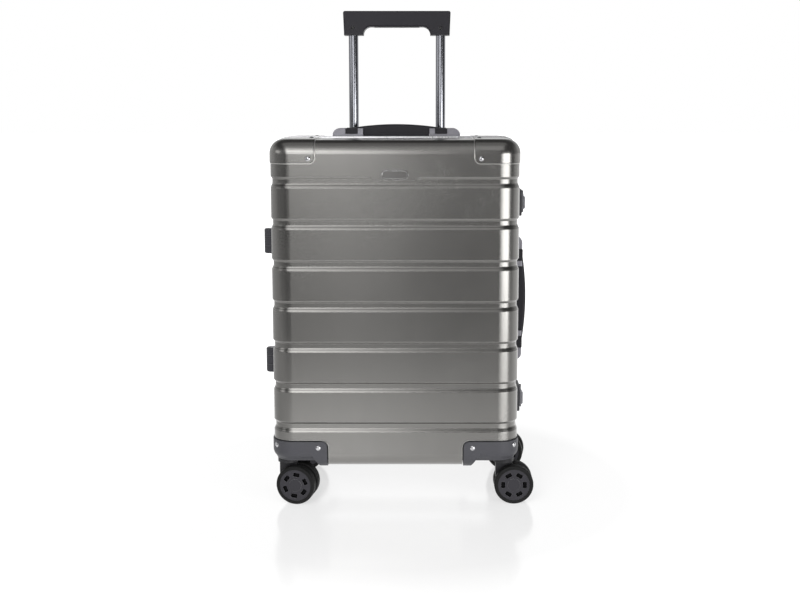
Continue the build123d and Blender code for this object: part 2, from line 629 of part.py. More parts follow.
# Hinges: two outer knuckles on the front half, the middle one on the rear half
hinge_centres = [SIDE_CENTRE - HINGE_SPREAD, SIDE_CENTRE + HINGE_SPREAD]
outer_length = (HINGE_HEIGHT - HINGE_MIDDLE) / 2 - MOVING_GAP
outer_step = (HINGE_HEIGHT - outer_length) / 2
with BuildPart() as front_hinge_leaves:
    for z in hinge_centres:
        for step in (-outer_step, outer_step):
            with Locations((HINGE_X, 0, z + step)):
                Cylinder(HINGE_RADIUS, outer_length)
    rims = front_hinge_leaves.edges().filter_by(GeomType.CIRCLE)
    ends = [z + step for z in hinge_centres for step in (-HINGE_HEIGHT / 2, HINGE_HEIGHT / 2)]
    chamfer([edge for edge in rims if min(abs(edge.center().Z - end) for end in ends) < 0.01], HINGE_EDGE)
    for z in hinge_centres:
        steps = (-outer_step, outer_step)
        with Locations(*[(-FRAME_SIDE, -FRAME_REACH + FRAME_EDGE, z + step) for step in steps]):
            Box(HINGE_LEAF, FRAME_REACH - 2 * FRAME_EDGE, outer_length - 2 * HINGE_EDGE,
                align=(Align.MAX, Align.MIN, Align.CENTER))
    with Locations(*[(HINGE_X, 0, z) for z in hinge_centres]):
        Cylinder(HINGE_PIN_RADIUS + RUNNING_CLEARANCE, 2 * HINGE_HEIGHT, mode=Mode.SUBTRACT)
write(front_hinge_leaves, "front_hinge_leaves")

with BuildPart() as rear_hinge_leaves:
    for z in hinge_centres:
        with Locations((HINGE_X, 0, z)):
            Cylinder(HINGE_RADIUS, HINGE_MIDDLE)
        with Locations((-FRAME_SIDE, FRAME_EDGE, z)):
            Box(HINGE_LEAF, FRAME_REACH - 2 * FRAME_EDGE, HINGE_MIDDLE,
                align=(Align.MAX, Align.MIN, Align.CENTER))
    with Locations(*[(HINGE_X, 0, z) for z in hinge_centres]):
        Cylinder(HINGE_PIN_RADIUS, 2 * HINGE_HEIGHT, mode=Mode.SUBTRACT)
write(rear_hinge_leaves, "rear_hinge_leaves")

with BuildPart() as hinge_pins:
    with Locations(*[(HINGE_X, 0, z) for z in hinge_centres]):
        Cylinder(HINGE_PIN_RADIUS, HINGE_HEIGHT)
write(hinge_pins, "hinge_pins")

# Latches: the upper one carries a combination lock, the lower one is plain
latch_centres = {"upper": SIDE_CENTRE + LATCH_SPREAD, "lower": SIDE_CENTRE - LATCH_SPREAD}
bases = [latch_base(z, name == "upper") for name, z in latch_centres.items()]
with BuildPart() as latch_bases:
    add(bases)
write(latch_bases, "latch_bases")

with BuildPart() as latch_keepers:
    with Locations(*[(FRAME_SIDE, -PARTING_GAP, z) for z in latch_centres.values()]):
        Box(LATCH_RISE, KEEPER_FRONT - PARTING_GAP, LATCH_HEIGHT,
            align=(Align.MIN, Align.MAX, Align.CENTER))
    rims = latch_keepers.faces().filter_by(Axis.X).sort_by(Axis.X)[-2:]
    outer_edges = rims[0].edges() + rims[1].edges()
    fillet(outer_edges.filter_by(lambda edge: edge.center().Y < -PARTING_GAP - LATCH_EDGE), LATCH_EDGE)
write(latch_keepers, "latch_keepers")

for name, z in latch_centres.items():
    plate = 2 * LEVER_KNUCKLE_RADIUS - LEVER_PLATE
    with BuildPart() as lever:
        with Locations((LEVER_X, LEVER_PIVOT, z)):
            Cylinder(LEVER_KNUCKLE_RADIUS, LEVER_HEIGHT)
            Cylinder(LEVER_PIN_RADIUS, LEVER_HEIGHT + 2 * LEVER_EAR)
        with Locations((LATCH_FACE + MOVING_GAP, LEVER_PIVOT, z)):
            Box(LEVER_PLATE, LEVER_REACH, LEVER_HEIGHT, align=(Align.MIN, Align.MAX, Align.CENTER))
        with Locations((LATCH_FACE + MOVING_GAP, LEVER_PIVOT - LEVER_REACH, z)):
            Box(LEVER_PLATE + LEVER_RIDGE, LEVER_REACH - 2 * LEVER_KNUCKLE_RADIUS, LEVER_RIDGE_HEIGHT,
                align=(Align.MIN, Align.MIN, Align.CENTER))
        crest = lever.faces().filter_by(Axis.X).sort_by(Axis.X)[-1]
        chamfer(crest.edges(), LEVER_RIDGE / 2)
    write(lever, f"{name}_latch_lever")

for number, step in enumerate(reversed(DIAL_STEPS), 1):
    with BuildPart() as dial:
        with BuildSketch(Plane.XY.offset(latch_centres["upper"] + step)):
            with Locations((DIAL_X, DIAL_BACK)):
                Circle(DIAL_RADIUS)
                Circle(DIAL_SPINDLE_RADIUS + RUNNING_CLEARANCE, mode=Mode.SUBTRACT)
                with PolarLocations(DIAL_RADIUS, DIAL_FLUTES):
                    Circle(DIAL_FLUTE_RADIUS, mode=Mode.SUBTRACT)
        extrude(amount=DIAL_WIDTH / 2, both=True)
    write(dial, f"combination_dial_{number}")

# Carry handles
top_place = Location((0, HANDLE_BACK, SHELL_TOP))
side_place = Location(Plane((HALF_WIDTH, HANDLE_BACK, SIDE_CENTRE), (0, 0, -1), (1, 0, 0)))
brackets = bracket_pair()
grip = handle_bar()
for name, place in (("top", top_place), ("side", side_place)):
    with BuildPart() as handle_brackets:
        with Locations(place):
            add(brackets)
    write(handle_brackets, f"{name}_handle_brackets")
    with BuildPart() as handle_grip:
        with Locations(place):
            add(grip)
    write(handle_grip, f"{name}_handle_grip")

# Telescopic trolley
pole_spots = [(hand * POLE_X, TROLLEY_BACK) for hand in (-1, 1)]
outer_bottom = CLAMP_BOTTOM + CLAMP_WALL
tube_stages = {
    "outer": (OUTER_TUBE_RADIUS, outer_bottom, SHELL_TOP - CUP_DEPTH),
    "middle": (MIDDLE_TUBE_RADIUS, CUP_FLOOR - MIDDLE_TUBE_LENGTH, CUP_FLOOR),
    "inner": (INNER_TUBE_RADIUS, GRIP_BOTTOM + TUBE_SOCKET - INNER_TUBE_LENGTH, GRIP_BOTTOM + TUBE_SOCKET),
}
for stage, (radius, low, high) in tube_stages.items():
    with BuildPart() as tubes:
        with BuildSketch(Plane.XY.offset(low)):
            with Locations(*pole_spots):
                Circle(radius)
                Circle(radius - TUBE_WALL, mode=Mode.SUBTRACT)
        extrude(amount=high - low)
    write(tubes, f"trolley_{stage}_tubes")

rear_block = half_block(1, 0, FRAME_SEAT)
with BuildPart() as trolley_tray:
    add(rear_block)
    with Locations((0, TROLLEY_BACK, SHELL_TOP - CUP_DEPTH)):
        Box(CUP_LENGTH, CUP_WIDTH, 2 * CUP_DEPTH, mode=Mode.INTERSECT,
            align=(Align.CENTER, Align.CENTER, Align.MIN))
    with Locations((0, TROLLEY_BACK, CUP_FLOOR)):
        Box(CUP_LENGTH - 2 * CUP_WALL, CUP_WIDTH - 2 * CUP_WALL, 2 * CUP_DEPTH, mode=Mode.SUBTRACT,
            align=(Align.CENTER, Align.CENTER, Align.MIN))
    with Locations(*[(x, y, CUP_FLOOR) for x, y in pole_spots]):
        Cylinder(MIDDLE_TUBE_RADIUS + SLIDE_CLEARANCE, OVERCUT, mode=Mode.SUBTRACT)
write(trolley_tray, "trolley_tray")

clamp_front = TROLLEY_BACK - OUTER_TUBE_RADIUS - CLAMP_WALL
clamp_back = HALF_DEPTH - SHELL_WALL
with BuildPart() as trolley_foot_clamps:
    with Locations(*[(x, clamp_front, CLAMP_BOTTOM) for x, y in pole_spots]):
        Box(CLAMP_WIDTH, clamp_back - clamp_front, CLAMP_HEIGHT, align=(Align.CENTER, Align.MIN, Align.MIN))
    with Locations(*[(x, y, outer_bottom) for x, y in pole_spots]):
        Cylinder(OUTER_TUBE_RADIUS, CLAMP_HEIGHT, mode=Mode.SUBTRACT,
                 align=(Align.CENTER, Align.CENTER, Align.MIN))
write(trolley_foot_clamps, "trolley_foot_clamps")

grip_front = TROLLEY_BACK - GRIP_DEPTH / 2
screw_spots = [(x, GRIP_BOTTOM + GRIP_SCREW_UP) for x, y in pole_spots]
with BuildPart() as trolley_grip:
    with BuildSketch(Plane.XZ.offset(-TROLLEY_BACK)) as outline:
        with BuildLine():
            Polyline((-GRIP_WIDTH / 2, GRIP_TOP), (GRIP_WIDTH / 2, GRIP_TOP),
                     (GRIP_WIDTH / 2 - GRIP_TAPER, GRIP_BOTTOM),
                     (-GRIP_WIDTH / 2 + GRIP_TAPER, GRIP_BOTTOM),
                     close=True)
        make_face()
        fillet(outline.vertices().group_by(Axis.Y)[-1], GRIP_CORNER)
        with Locations((0, GRIP_UNDERSIDE - OVERCUT)):
            RectangleRounded(GRIP_THROAT, 2 * OVERCUT, THROAT_CORNER, mode=Mode.SUBTRACT)
    extrude(amount=GRIP_DEPTH / 2, both=True)
    borders = [edge for face in trolley_grip.faces().filter_by(Axis.Y) for edge in face.edges()]
    fillet([edge for edge in borders if edge.center().Z > GRIP_BOTTOM + MOVING_GAP], GRIP_EDGE)
    with Locations(*[(x, y, GRIP_BOTTOM) for x, y in pole_spots]):
        Cylinder(INNER_TUBE_RADIUS, TUBE_SOCKET, mode=Mode.SUBTRACT,
                 align=(Align.CENTER, Align.CENTER, Align.MIN))
    with BuildSketch(Plane.XZ.offset(-grip_front)):
        with Locations(*screw_spots):
            Circle(GRIP_SCREW_RADIUS + GRIP_SCREW_GAP)
    extrude(amount=-GRIP_SCREW_SINK - GRIP_SCREW_LENGTH, mode=Mode.SUBTRACT)
    with BuildSketch(Plane.XY.offset(GRIP_UNDERSIDE)):
        with Locations((0, TROLLEY_BACK)):
            RectangleRounded(BUTTON_LENGTH + 2 * MOVING_GAP, BUTTON_WIDTH + 2 * MOVING_GAP,
                             BUTTON_CORNER + MOVING_GAP)
    extrude(amount=BUTTON_HEIGHT - BUTTON_PROUD + BUTTON_TRAVEL + MOVING_GAP, mode=Mode.SUBTRACT)
write(trolley_grip, "trolley_grip")

with BuildPart() as grip_screws:
    with BuildSketch(Plane.XZ.offset(-grip_front - GRIP_SCREW_SINK)):
        with Locations(*screw_spots):
            Circle(GRIP_SCREW_RADIUS)
    extrude(amount=-GRIP_SCREW_LENGTH)
write(grip_screws, "grip_screws")

with BuildPart() as release_button:
    with BuildSketch(Plane.XY.offset(GRIP_UNDERSIDE - BUTTON_PROUD)):
        with Locations((0, TROLLEY_BACK)):
            RectangleRounded(BUTTON_LENGTH, BUTTON_WIDTH, BUTTON_CORNER)
    extrude(amount=BUTTON_HEIGHT)
write(release_button, "release_button")

# Bare badge plate on the front face
with BuildPart() as badge_plate:
    with BuildSketch(Plane.XZ.offset(HALF_DEPTH)):
        with Locations((0, SHELL_TOP - BADGE_DOWN)):
            SlotOverall(BADGE_LENGTH, BADGE_HEIGHT)
    extrude(amount=BADGE_THICKNESS)
    with BuildSketch(Plane.XZ.offset(HALF_DEPTH + BADGE_THICKNESS)):
        with Locations((0, SHELL_TOP - BADGE_DOWN)):
            SlotOverall(BADGE_LENGTH - 2 * BADGE_RIM, BADGE_HEIGHT - 2 * BADGE_RIM)
    extrude(amount=-BADGE_RECESS, mode=Mode.SUBTRACT)
write(badge_plate, "badge_plate")

# One caster, around its swivel axis with the wheels trailing along X
fork_top = DECK_BOTTOM - MOVING_GAP
stem_top = DECK_TOP + MOVING_GAP
head_bottom = fork_top - SWIVEL_HEAD_HEIGHT
with BuildPart() as fork_shape:
    with BuildSketch(Plane.XZ):
        with Locations((CASTER_TRAIL, WHEEL_RADIUS)):
            Circle(ARM_BOSS_RADIUS)
        with Locations((0, head_bottom - ARM_DROP / 2)):
            Rectangle(ARM_NECK, ARM_DROP)
        make_hull()
    extrude(amount=ARM_WIDTH / 2, both=True)
    with Locations((0, 0, head_bottom)):
        Cylinder(SWIVEL_HEAD_RADIUS, SWIVEL_HEAD_HEIGHT, align=(Align.CENTER, Align.CENTER, Align.MIN))
        Cylinder(STEM_RADIUS, stem_top - head_bottom, align=(Align.CENTER, Align.CENTER, Align.MIN))
    with Locations((0, 0, stem_top)):
        Cylinder(STEM_HEAD_RADIUS, STEM_HEAD_HEIGHT, align=(Align.CENTER, Align.CENTER, Align.MIN))
    with Locations((CASTER_TRAIL, 0, WHEEL_RADIUS)):
        Cylinder(AXLE_RADIUS, 2 * ARM_WIDTH, rotation=(90, 0, 0), mode=Mode.SUBTRACT)

bore_end = WHEEL_OFFSET + HUB_WIDTH / 2 - HUB_BACK
with BuildPart() as axle_shape:
    with Locations((CASTER_TRAIL, 0, WHEEL_RADIUS)):
        Cylinder(AXLE_RADIUS, 2 * (bore_end - MOVING_GAP), rotation=(90, 0, 0))

with BuildPart() as tyre_shape:
    with BuildSketch(Plane.XZ):
        Circle(WHEEL_RADIUS)
    extrude(amount=WHEEL_WIDTH / 2, both=True)
    fillet(tyre_shape.edges().filter_by(GeomType.CIRCLE), WHEEL_EDGE)
    with BuildSketch(Plane.XZ):
        Circle(HUB_RADIUS)
    extrude(amount=WHEEL_WIDTH, both=True, mode=Mode.SUBTRACT)
    with BuildSketch(Plane.XY):
        with GridLocations(1, TREAD_GROOVE_PITCH, 1, TREAD_GROOVES):
            with Locations((WHEEL_RADIUS, 0)):
                Rectangle(2 * TREAD_GROOVE_DEPTH, TREAD_GROOVE_WIDTH)
    revolve(axis=Axis.Y, mode=Mode.SUBTRACT)

# The hub's outer face points along -Y here
with BuildPart() as hub_shape:
    with BuildSketch(Plane.XZ):
        Circle(HUB_RADIUS)
    extrude(amount=HUB_WIDTH / 2, both=True)
    with BuildSketch(Plane.XZ.offset(HUB_WIDTH / 2)):
        with PolarLocations(HUB_WINDOW_RADIUS, HUB_WINDOWS):
            RectangleRounded(HUB_WINDOW_HEIGHT, HUB_WINDOW_WIDTH, HUB_WINDOW_CORNER)
    extrude(amount=-HUB_WINDOW_DEPTH, mode=Mode.SUBTRACT)
    with BuildSketch(Plane.XZ.offset(HUB_WIDTH / 2)):
        Circle(HUB_CAP_RADIUS)
    extrude(amount=HUB_CAP_DEPTH)
    with BuildSketch(Plane.XZ.offset(HUB_WIDTH / 2 - HUB_BACK)):
        Circle(AXLE_RADIUS + RUNNING_CLEARANCE)
    extrude(amount=-HUB_WIDTH, mode=Mode.SUBTRACT)

for corner, turn in SWIVEL_AT_REST.items():
    side = -1 if corner.startswith("front") else 1
    hand = -1 if corner.endswith("left") else 1
    place = Location((hand * CASTER_X, side * CASTER_Y, 0), (0, 0, turn))
    with BuildPart() as fork:
        with Locations(place):
            add(fork_shape.part)
    write(fork, f"{corner}_caster_fork")
    with BuildPart() as axle:
        with Locations(place):
            add(axle_shape.part)
    write(axle, f"{corner}_caster_axle")
    for number, flip in ((1, 0), (2, 180)):
        offset = -WHEEL_OFFSET if number == 1 else WHEEL_OFFSET
        wheel = place * Location((CASTER_TRAIL, offset, WHEEL_RADIUS), (0, 0, flip))
        with BuildPart() as tyre:
            with Locations(wheel):
                add(tyre_shape.part)
        write(tyre, f"{corner}_tyre_{number}")
        with BuildPart() as hub:
            with Locations(wheel * Location((0, 0, 0), (0, ROLL_AT_REST[corner], 0))):
                add(hub_shape.part)
        write(hub, f"{corner}_hub_{number}")
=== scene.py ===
import json
import logging
import math
from collections.abc import Sequence
from dataclasses import dataclass, field
from enum import Enum

import bmesh
import bpy
from mathutils import Matrix, Vector, noise


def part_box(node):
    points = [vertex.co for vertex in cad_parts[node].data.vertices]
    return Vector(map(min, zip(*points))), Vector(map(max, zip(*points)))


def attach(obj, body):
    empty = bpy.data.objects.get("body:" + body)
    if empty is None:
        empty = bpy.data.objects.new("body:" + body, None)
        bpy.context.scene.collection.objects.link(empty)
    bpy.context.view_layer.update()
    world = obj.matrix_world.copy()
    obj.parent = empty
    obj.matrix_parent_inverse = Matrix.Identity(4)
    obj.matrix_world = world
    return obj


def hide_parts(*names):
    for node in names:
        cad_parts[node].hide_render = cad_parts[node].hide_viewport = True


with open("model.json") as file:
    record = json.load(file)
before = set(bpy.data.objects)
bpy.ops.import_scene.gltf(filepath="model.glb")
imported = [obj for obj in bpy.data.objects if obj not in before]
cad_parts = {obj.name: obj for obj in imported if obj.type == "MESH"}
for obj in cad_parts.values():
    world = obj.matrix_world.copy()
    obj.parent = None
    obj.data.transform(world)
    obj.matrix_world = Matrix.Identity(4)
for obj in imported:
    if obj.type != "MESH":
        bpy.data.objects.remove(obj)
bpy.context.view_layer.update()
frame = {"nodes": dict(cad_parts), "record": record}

LOG = logging.getLogger("suitcase")
Colour = tuple[float, float, float]
Paint = tuple[float, float, float, float]
Point = tuple[float, float, float]
Flat = tuple[float, float]
Face = tuple[int, ...]
Mesh = bpy.types.Mesh
Material = bpy.types.Material
Tree = bpy.types.NodeTree
Socket = bpy.types.NodeSocket
Sockets = bpy.types.bpy_prop_collection

WHITE: Paint = (1.0, 1.0, 1.0, 1.0)
NUMBER = "NodeSocketFloat"
VECTOR = "NodeSocketVector"
CORNER_SIGNS = ((1, 1), (-1, 1), (-1, -1), (1, -1))


class Half(Enum):
    """The two halves of the case, by the side of the parting plane they stand on."""

    FRONT = -1
    REAR = 1

    @property
    def word(self) -> str:
        """Name of the half as its nodes spell it."""
        return self.name.lower()

    @property
    def body(self) -> str:
        """CAD body that the half's pieces ride on."""
        return f"{self.word}_half"


class Corner(Enum):
    """The four casters, as left or right and front or rear."""

    FRONT_LEFT = "front_left"
    FRONT_RIGHT = "front_right"
    REAR_LEFT = "rear_left"
    REAR_RIGHT = "rear_right"


@dataclass(frozen=True)
class CaseShape:
    """Outer sizes of the shells and of what is pressed or set into them, for the pieces that lie on them."""

    half_width: float
    half_depth: float
    top: float
    bottom: float
    upright_radius: float = 0.03
    rim_radius: float = 0.02
    mouth: float = 0.0132
    guard_width: float = 0.065
    guard_height: float = 0.0324
    guard_corner: float = 0.007
    guard_proud: float = 0.0011
    housing_width: float = 0.08
    housing_depth: float = 0.07
    housing_top: float = 0.0972
    housing_corner: float = 0.009
    housing_proud: float = 0.0018
    first_groove: float = 0.1112
    groove_pitch: float = 0.0596
    grooves: int = 7
    groove_line: float = 0.0034

    @classmethod
    def from_frame(cls) -> "CaseShape":
        """Takes the outer sizes from the front shell."""
        low, high = box_corners(f"{Half.FRONT.word}_shell")
        return cls(half_width=high.x, half_depth=-low.y, top=high.z, bottom=low.z)


def box_corners(node: str) -> tuple[Vector, Vector]:
    """Lowest and highest corner of a CAD node's box."""
    low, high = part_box(node)
    return Vector(low), Vector(high)


def linear(shade: Colour, share: float = 1.0) -> Paint:
    """Turns a screen colour into the linear colour that shaders take.

    Args:
        shade: Red, green and blue from 0 to 255.
        share: How much lighter or darker it is made first.

    Returns:
        Linear red, green, blue and an alpha of 1.
    """
    parts = [min(255.0, v * share) / 255.0 for v in shade]
    steps = [v / 12.92 if v <= 0.04045 else ((v + 0.055) / 1.055) ** 2.4 for v in parts]
    return (steps[0], steps[1], steps[2], 1.0)


class Canvas:
    """Small helper that lays nodes and links in one node tree."""

    def __init__(self, tree: Tree) -> None:
        """Keeps the tree that nodes are laid in."""
        self.tree = tree

    @classmethod
    def cleared(cls, owner: Material | bpy.types.World) -> "Canvas":
        """Switches nodes on and empties the tree.

        Args:
            owner: A material or a world.

        Returns:
            A canvas on its empty tree.
        """
        owner.use_nodes = True
        owner.node_tree.nodes.clear()
        return cls(owner.node_tree)

    def node(self, kind: str, **settings: object) -> bpy.types.Node:
        """Adds a node and sets its options and inputs.

        Args:
            kind: Blender's type name of the node.
            settings: Options by attribute name, or values and sockets by input name, spaces as underscores.

        Returns:
            The new node.
        """
        made = self.tree.nodes.new(kind)
        for key, value in settings.items():
            if hasattr(made, key):
                setattr(made, key, value)
            else:
                self.link(value, made.inputs[key.replace("_", " ")])
        return made

    def group(self, tree: Tree, **settings: float) -> Sockets:
        """Outputs of a node group placed with its own values."""
        return self.node("ShaderNodeGroup", node_tree=tree, **settings).outputs

    def link(self, start: object, end: Socket) -> None:
        """Joins an output to an input, or sets the input to a plain value.

        Args:
            start: A socket or a value.
            end: The input.
        """
        if isinstance(start, Socket):
            self.tree.links.new(start, end)
        else:
            end.default_value = start

    def place(self) -> Socket:
        """Point on the piece in its own coordinates."""
        return self.node("ShaderNodeTexCoord").outputs["Object"]

    def parts(self, vector: Socket) -> Sockets:
        """Splits a vector into its X, Y and Z."""
        return self.node("ShaderNodeSeparateXYZ", Vector=vector).outputs

    def maths(self, operation: str, first: object, second: object = 0.0) -> Socket:
        """Adds a Math node.

        Args:
            operation: Blender's name of the operation.
            first: A socket or a number.
            second: A socket or a number.

        Returns:
            The output value.
        """
        made = self.node("ShaderNodeMath", operation=operation)
        self.link(first, made.inputs[0])
        self.link(second, made.inputs[1])
        return made.outputs[0]

    def ramp(self, value: Socket, low: float, high: float, start: float = 0.0, end: float = 1.0) -> Socket:
        """Maps a value from one range to another, clamped.

        Args:
            value: The socket to map.
            low: Value that becomes start.
            high: Value that becomes end.
            start: First result.
            end: Last result.

        Returns:
            The mapped value.
        """
        made = self.node("ShaderNodeMapRange", clamp=True, Value=value, From_Min=low, From_Max=high,
                         To_Min=start, To_Max=end)
        return made.outputs["Result"]

    def mix(self, factor: Socket, first: object, second: object) -> Socket:
        """Blends two colours.

        Args:
            factor: Share of the second colour.
            first: A socket or a colour.
            second: A socket or a colour.

        Returns:
            The blended colour.
        """
        made = self.node("ShaderNodeMix", data_type="RGBA", Factor=factor, A=first, B=second)
        return next(output for output in made.outputs if output.type == "RGBA")

    def surface(self, shader: bpy.types.Node, owner: str = "Material") -> None:
        """Ends the tree of a Material or a World with a shader."""
        self.node(f"ShaderNodeOutput{owner}", Surface=shader.outputs[0])


class Effects:
    """Shader node groups that several finishes share."""

    def __init__(self, case: CaseShape) -> None:
        """Builds every group once.

        Args:
            case: Sizes that the masks of the lip and the grooves follow.
        """
        self.grain = self._grain()
        self.handling = self._handling()
        self.edges = self._edges()
        self.weave = self._weave()
        self.lip = self._lip(case)
        self.grooves = self._grooves(case)

    @staticmethod
    def _start(name: str, inputs: dict[str, float],
               outputs: dict[str, str]) -> tuple[Tree, Canvas, Sockets, Sockets]:
        """Makes an empty group with named sockets.

        Args:
            name: Name of the group.
            inputs: Number inputs with their defaults.
            outputs: Outputs with their socket types.

        Returns:
            The group, a canvas on it, what it is given and what it puts out.
        """
        group = bpy.data.node_groups.new(name, "ShaderNodeTree")
        for word, value in inputs.items():
            socket = group.interface.new_socket(name=word, in_out="INPUT", socket_type=NUMBER)
            socket.default_value = value
        for word, kind in outputs.items():
            group.interface.new_socket(name=word, in_out="OUTPUT", socket_type=kind)
        lay = Canvas(group)
        return group, lay, lay.node("NodeGroupInput").outputs, lay.node("NodeGroupOutput").inputs

    def _grain(self) -> Tree:
        """Fine even grain of a bead-blasted or moulded surface."""
        group, lay, given, out = self._start("fine grain", {"Scale": 900.0, "Stretch": 1.0},
                                             {"Height": NUMBER, "Speck": NUMBER})
        stretch = lay.node("ShaderNodeCombineXYZ", X=1.0, Y=1.0, Z=given["Stretch"])
        scaled = lay.node("ShaderNodeVectorMath", operation="MULTIPLY", Vector=lay.place())
        lay.link(stretch.outputs[0], scaled.inputs[1])
        fine = lay.node("ShaderNodeTexNoise", Vector=scaled.outputs[0], Scale=given["Scale"], Detail=3.0,
                        Roughness=0.65)
        lay.link(fine.outputs["Fac"], out["Height"])
        lay.link(lay.ramp(fine.outputs["Fac"], low=0.3, high=0.7), out["Speck"])
        return group

    def _handling(self) -> Tree:
        """Broad uneven patches and upright streaks that hands, cloths and air leave on a surface."""
        group, lay, given, out = self._start("handling marks", {"Scale": 9.0},
                                             {"Patch": NUMBER, "Streak": NUMBER})
        place = lay.place()
        broad = lay.node("ShaderNodeTexNoise", Vector=place, Scale=given["Scale"], Detail=4.0, Roughness=0.55,
                         Distortion=0.6)
        lay.link(lay.ramp(broad.outputs["Fac"], low=0.32, high=0.7), out["Patch"])
        long = lay.node("ShaderNodeMapping", Vector=place, Scale=(14.0, 14.0, 1.4))
        streak = lay.node("ShaderNodeTexNoise", Vector=long.outputs[0], Scale=6.0, Detail=5.0, Roughness=0.6)
        lay.link(lay.ramp(streak.outputs["Fac"], low=0.35, high=0.7), out["Streak"])
        return group

    def _edges(self) -> Tree:
        """Softened edges: a rounded normal, and a mask of the outer and inner edges."""
        group, lay, given, out = self._start("edge softening", {"Radius": 0.0006},
                                             {"Normal": VECTOR, "Edge": NUMBER})
        soft = lay.node("ShaderNodeBevel", samples=4, Radius=given["Radius"])
        turn = lay.node("ShaderNodeVectorMath", operation="DOT_PRODUCT", Vector=soft.outputs[0])
        lay.link(lay.node("ShaderNodeNewGeometry").outputs["Normal"], turn.inputs[1])
        lay.link(soft.outputs[0], out["Normal"])
        lay.link(lay.ramp(turn.outputs["Value"], low=0.99, high=0.8), out["Edge"])
        return group

    def _weave(self) -> Tree:
        """Plain weave of fine yarns, on the piece's own coordinates."""
        group, lay, given, out = self._start("plain weave", {"Yarns": 1100.0},
                                             {"Height": NUMBER, "Shade": NUMBER})
        place = lay.place()
        parts = lay.parts(place)
        waves = []
        for axis in ("X", "Z"):
            line = lay.maths("ADD", parts[axis], parts["Y"])
            waves.append(lay.maths("SINE", lay.maths("MULTIPLY", line, given["Yarns"])))
        cross = lay.maths("MULTIPLY", *waves)
        fuzz = lay.node("ShaderNodeTexNoise", Vector=place, Scale=700.0, Detail=2.0)
        lay.link(lay.maths("ADD", lay.maths("MULTIPLY", cross, 0.5), fuzz.outputs["Fac"]), out["Height"])
        lay.link(lay.ramp(cross, low=-1.0, high=1.0), out["Shade"])
        return group

    def _lip(self, case: CaseShape) -> Tree:
        """Mask of painted shade on what lies behind the shell's edge at a bottom corner, where no light gets
        in.

        Args:
            case: Sizes of the housings' openings.

        Returns:
            The group.
        """
        group, lay, given, out = self._start(
            "sunk lip",
            {"Across": case.half_width - case.housing_width, "Along": case.half_depth - case.housing_depth,
             "Top": case.housing_top},
            {"Sunk": NUMBER},
        )
        parts = lay.parts(lay.place())
        over = lay.maths("SUBTRACT", parts["Z"], given["Top"])
        for axis, word in (("X", "Across"), ("Y", "Along")):
            past = lay.maths("SUBTRACT", given[word], lay.maths("ABSOLUTE", parts[axis]))
            over = lay.maths("MAXIMUM", over, past)
        lay.link(lay.ramp(over, low=-0.0001, high=0.0003), out["Sunk"])
        return group

    def _grooves(self, case: CaseShape) -> Tree:
        """Mask of a painted shade line on the lower slope of each pressed groove, standing in for the shade
        of a crease.

        Args:
            case: Places of the grooves.

        Returns:
            The group.
        """
        group, lay, given, out = self._start(
            "groove lines",
            {"First": case.first_groove, "Pitch": case.groove_pitch, "Count": float(case.grooves),
             "Line": case.groove_line},
            {"Mask": NUMBER},
        )
        up = lay.maths("SUBTRACT", lay.parts(lay.place())["Z"], given["First"])
        share = lay.maths("DIVIDE", up, given["Pitch"])
        rest = lay.maths("MULTIPLY", lay.maths("SUBTRACT", share, lay.maths("FLOOR", share)), given["Pitch"])
        away = lay.maths("ABSOLUTE", lay.maths("SUBTRACT", rest, given["Line"]))
        line = lay.ramp(away, low=0.0004, high=0.0008, start=0.65, end=0.0)
        low = lay.maths("GREATER_THAN", share, 0.0)
        high = lay.maths("LESS_THAN", share, given["Count"])
        lay.link(lay.maths("MULTIPLY", line, lay.maths("MULTIPLY", low, high)), out["Mask"])
        return group


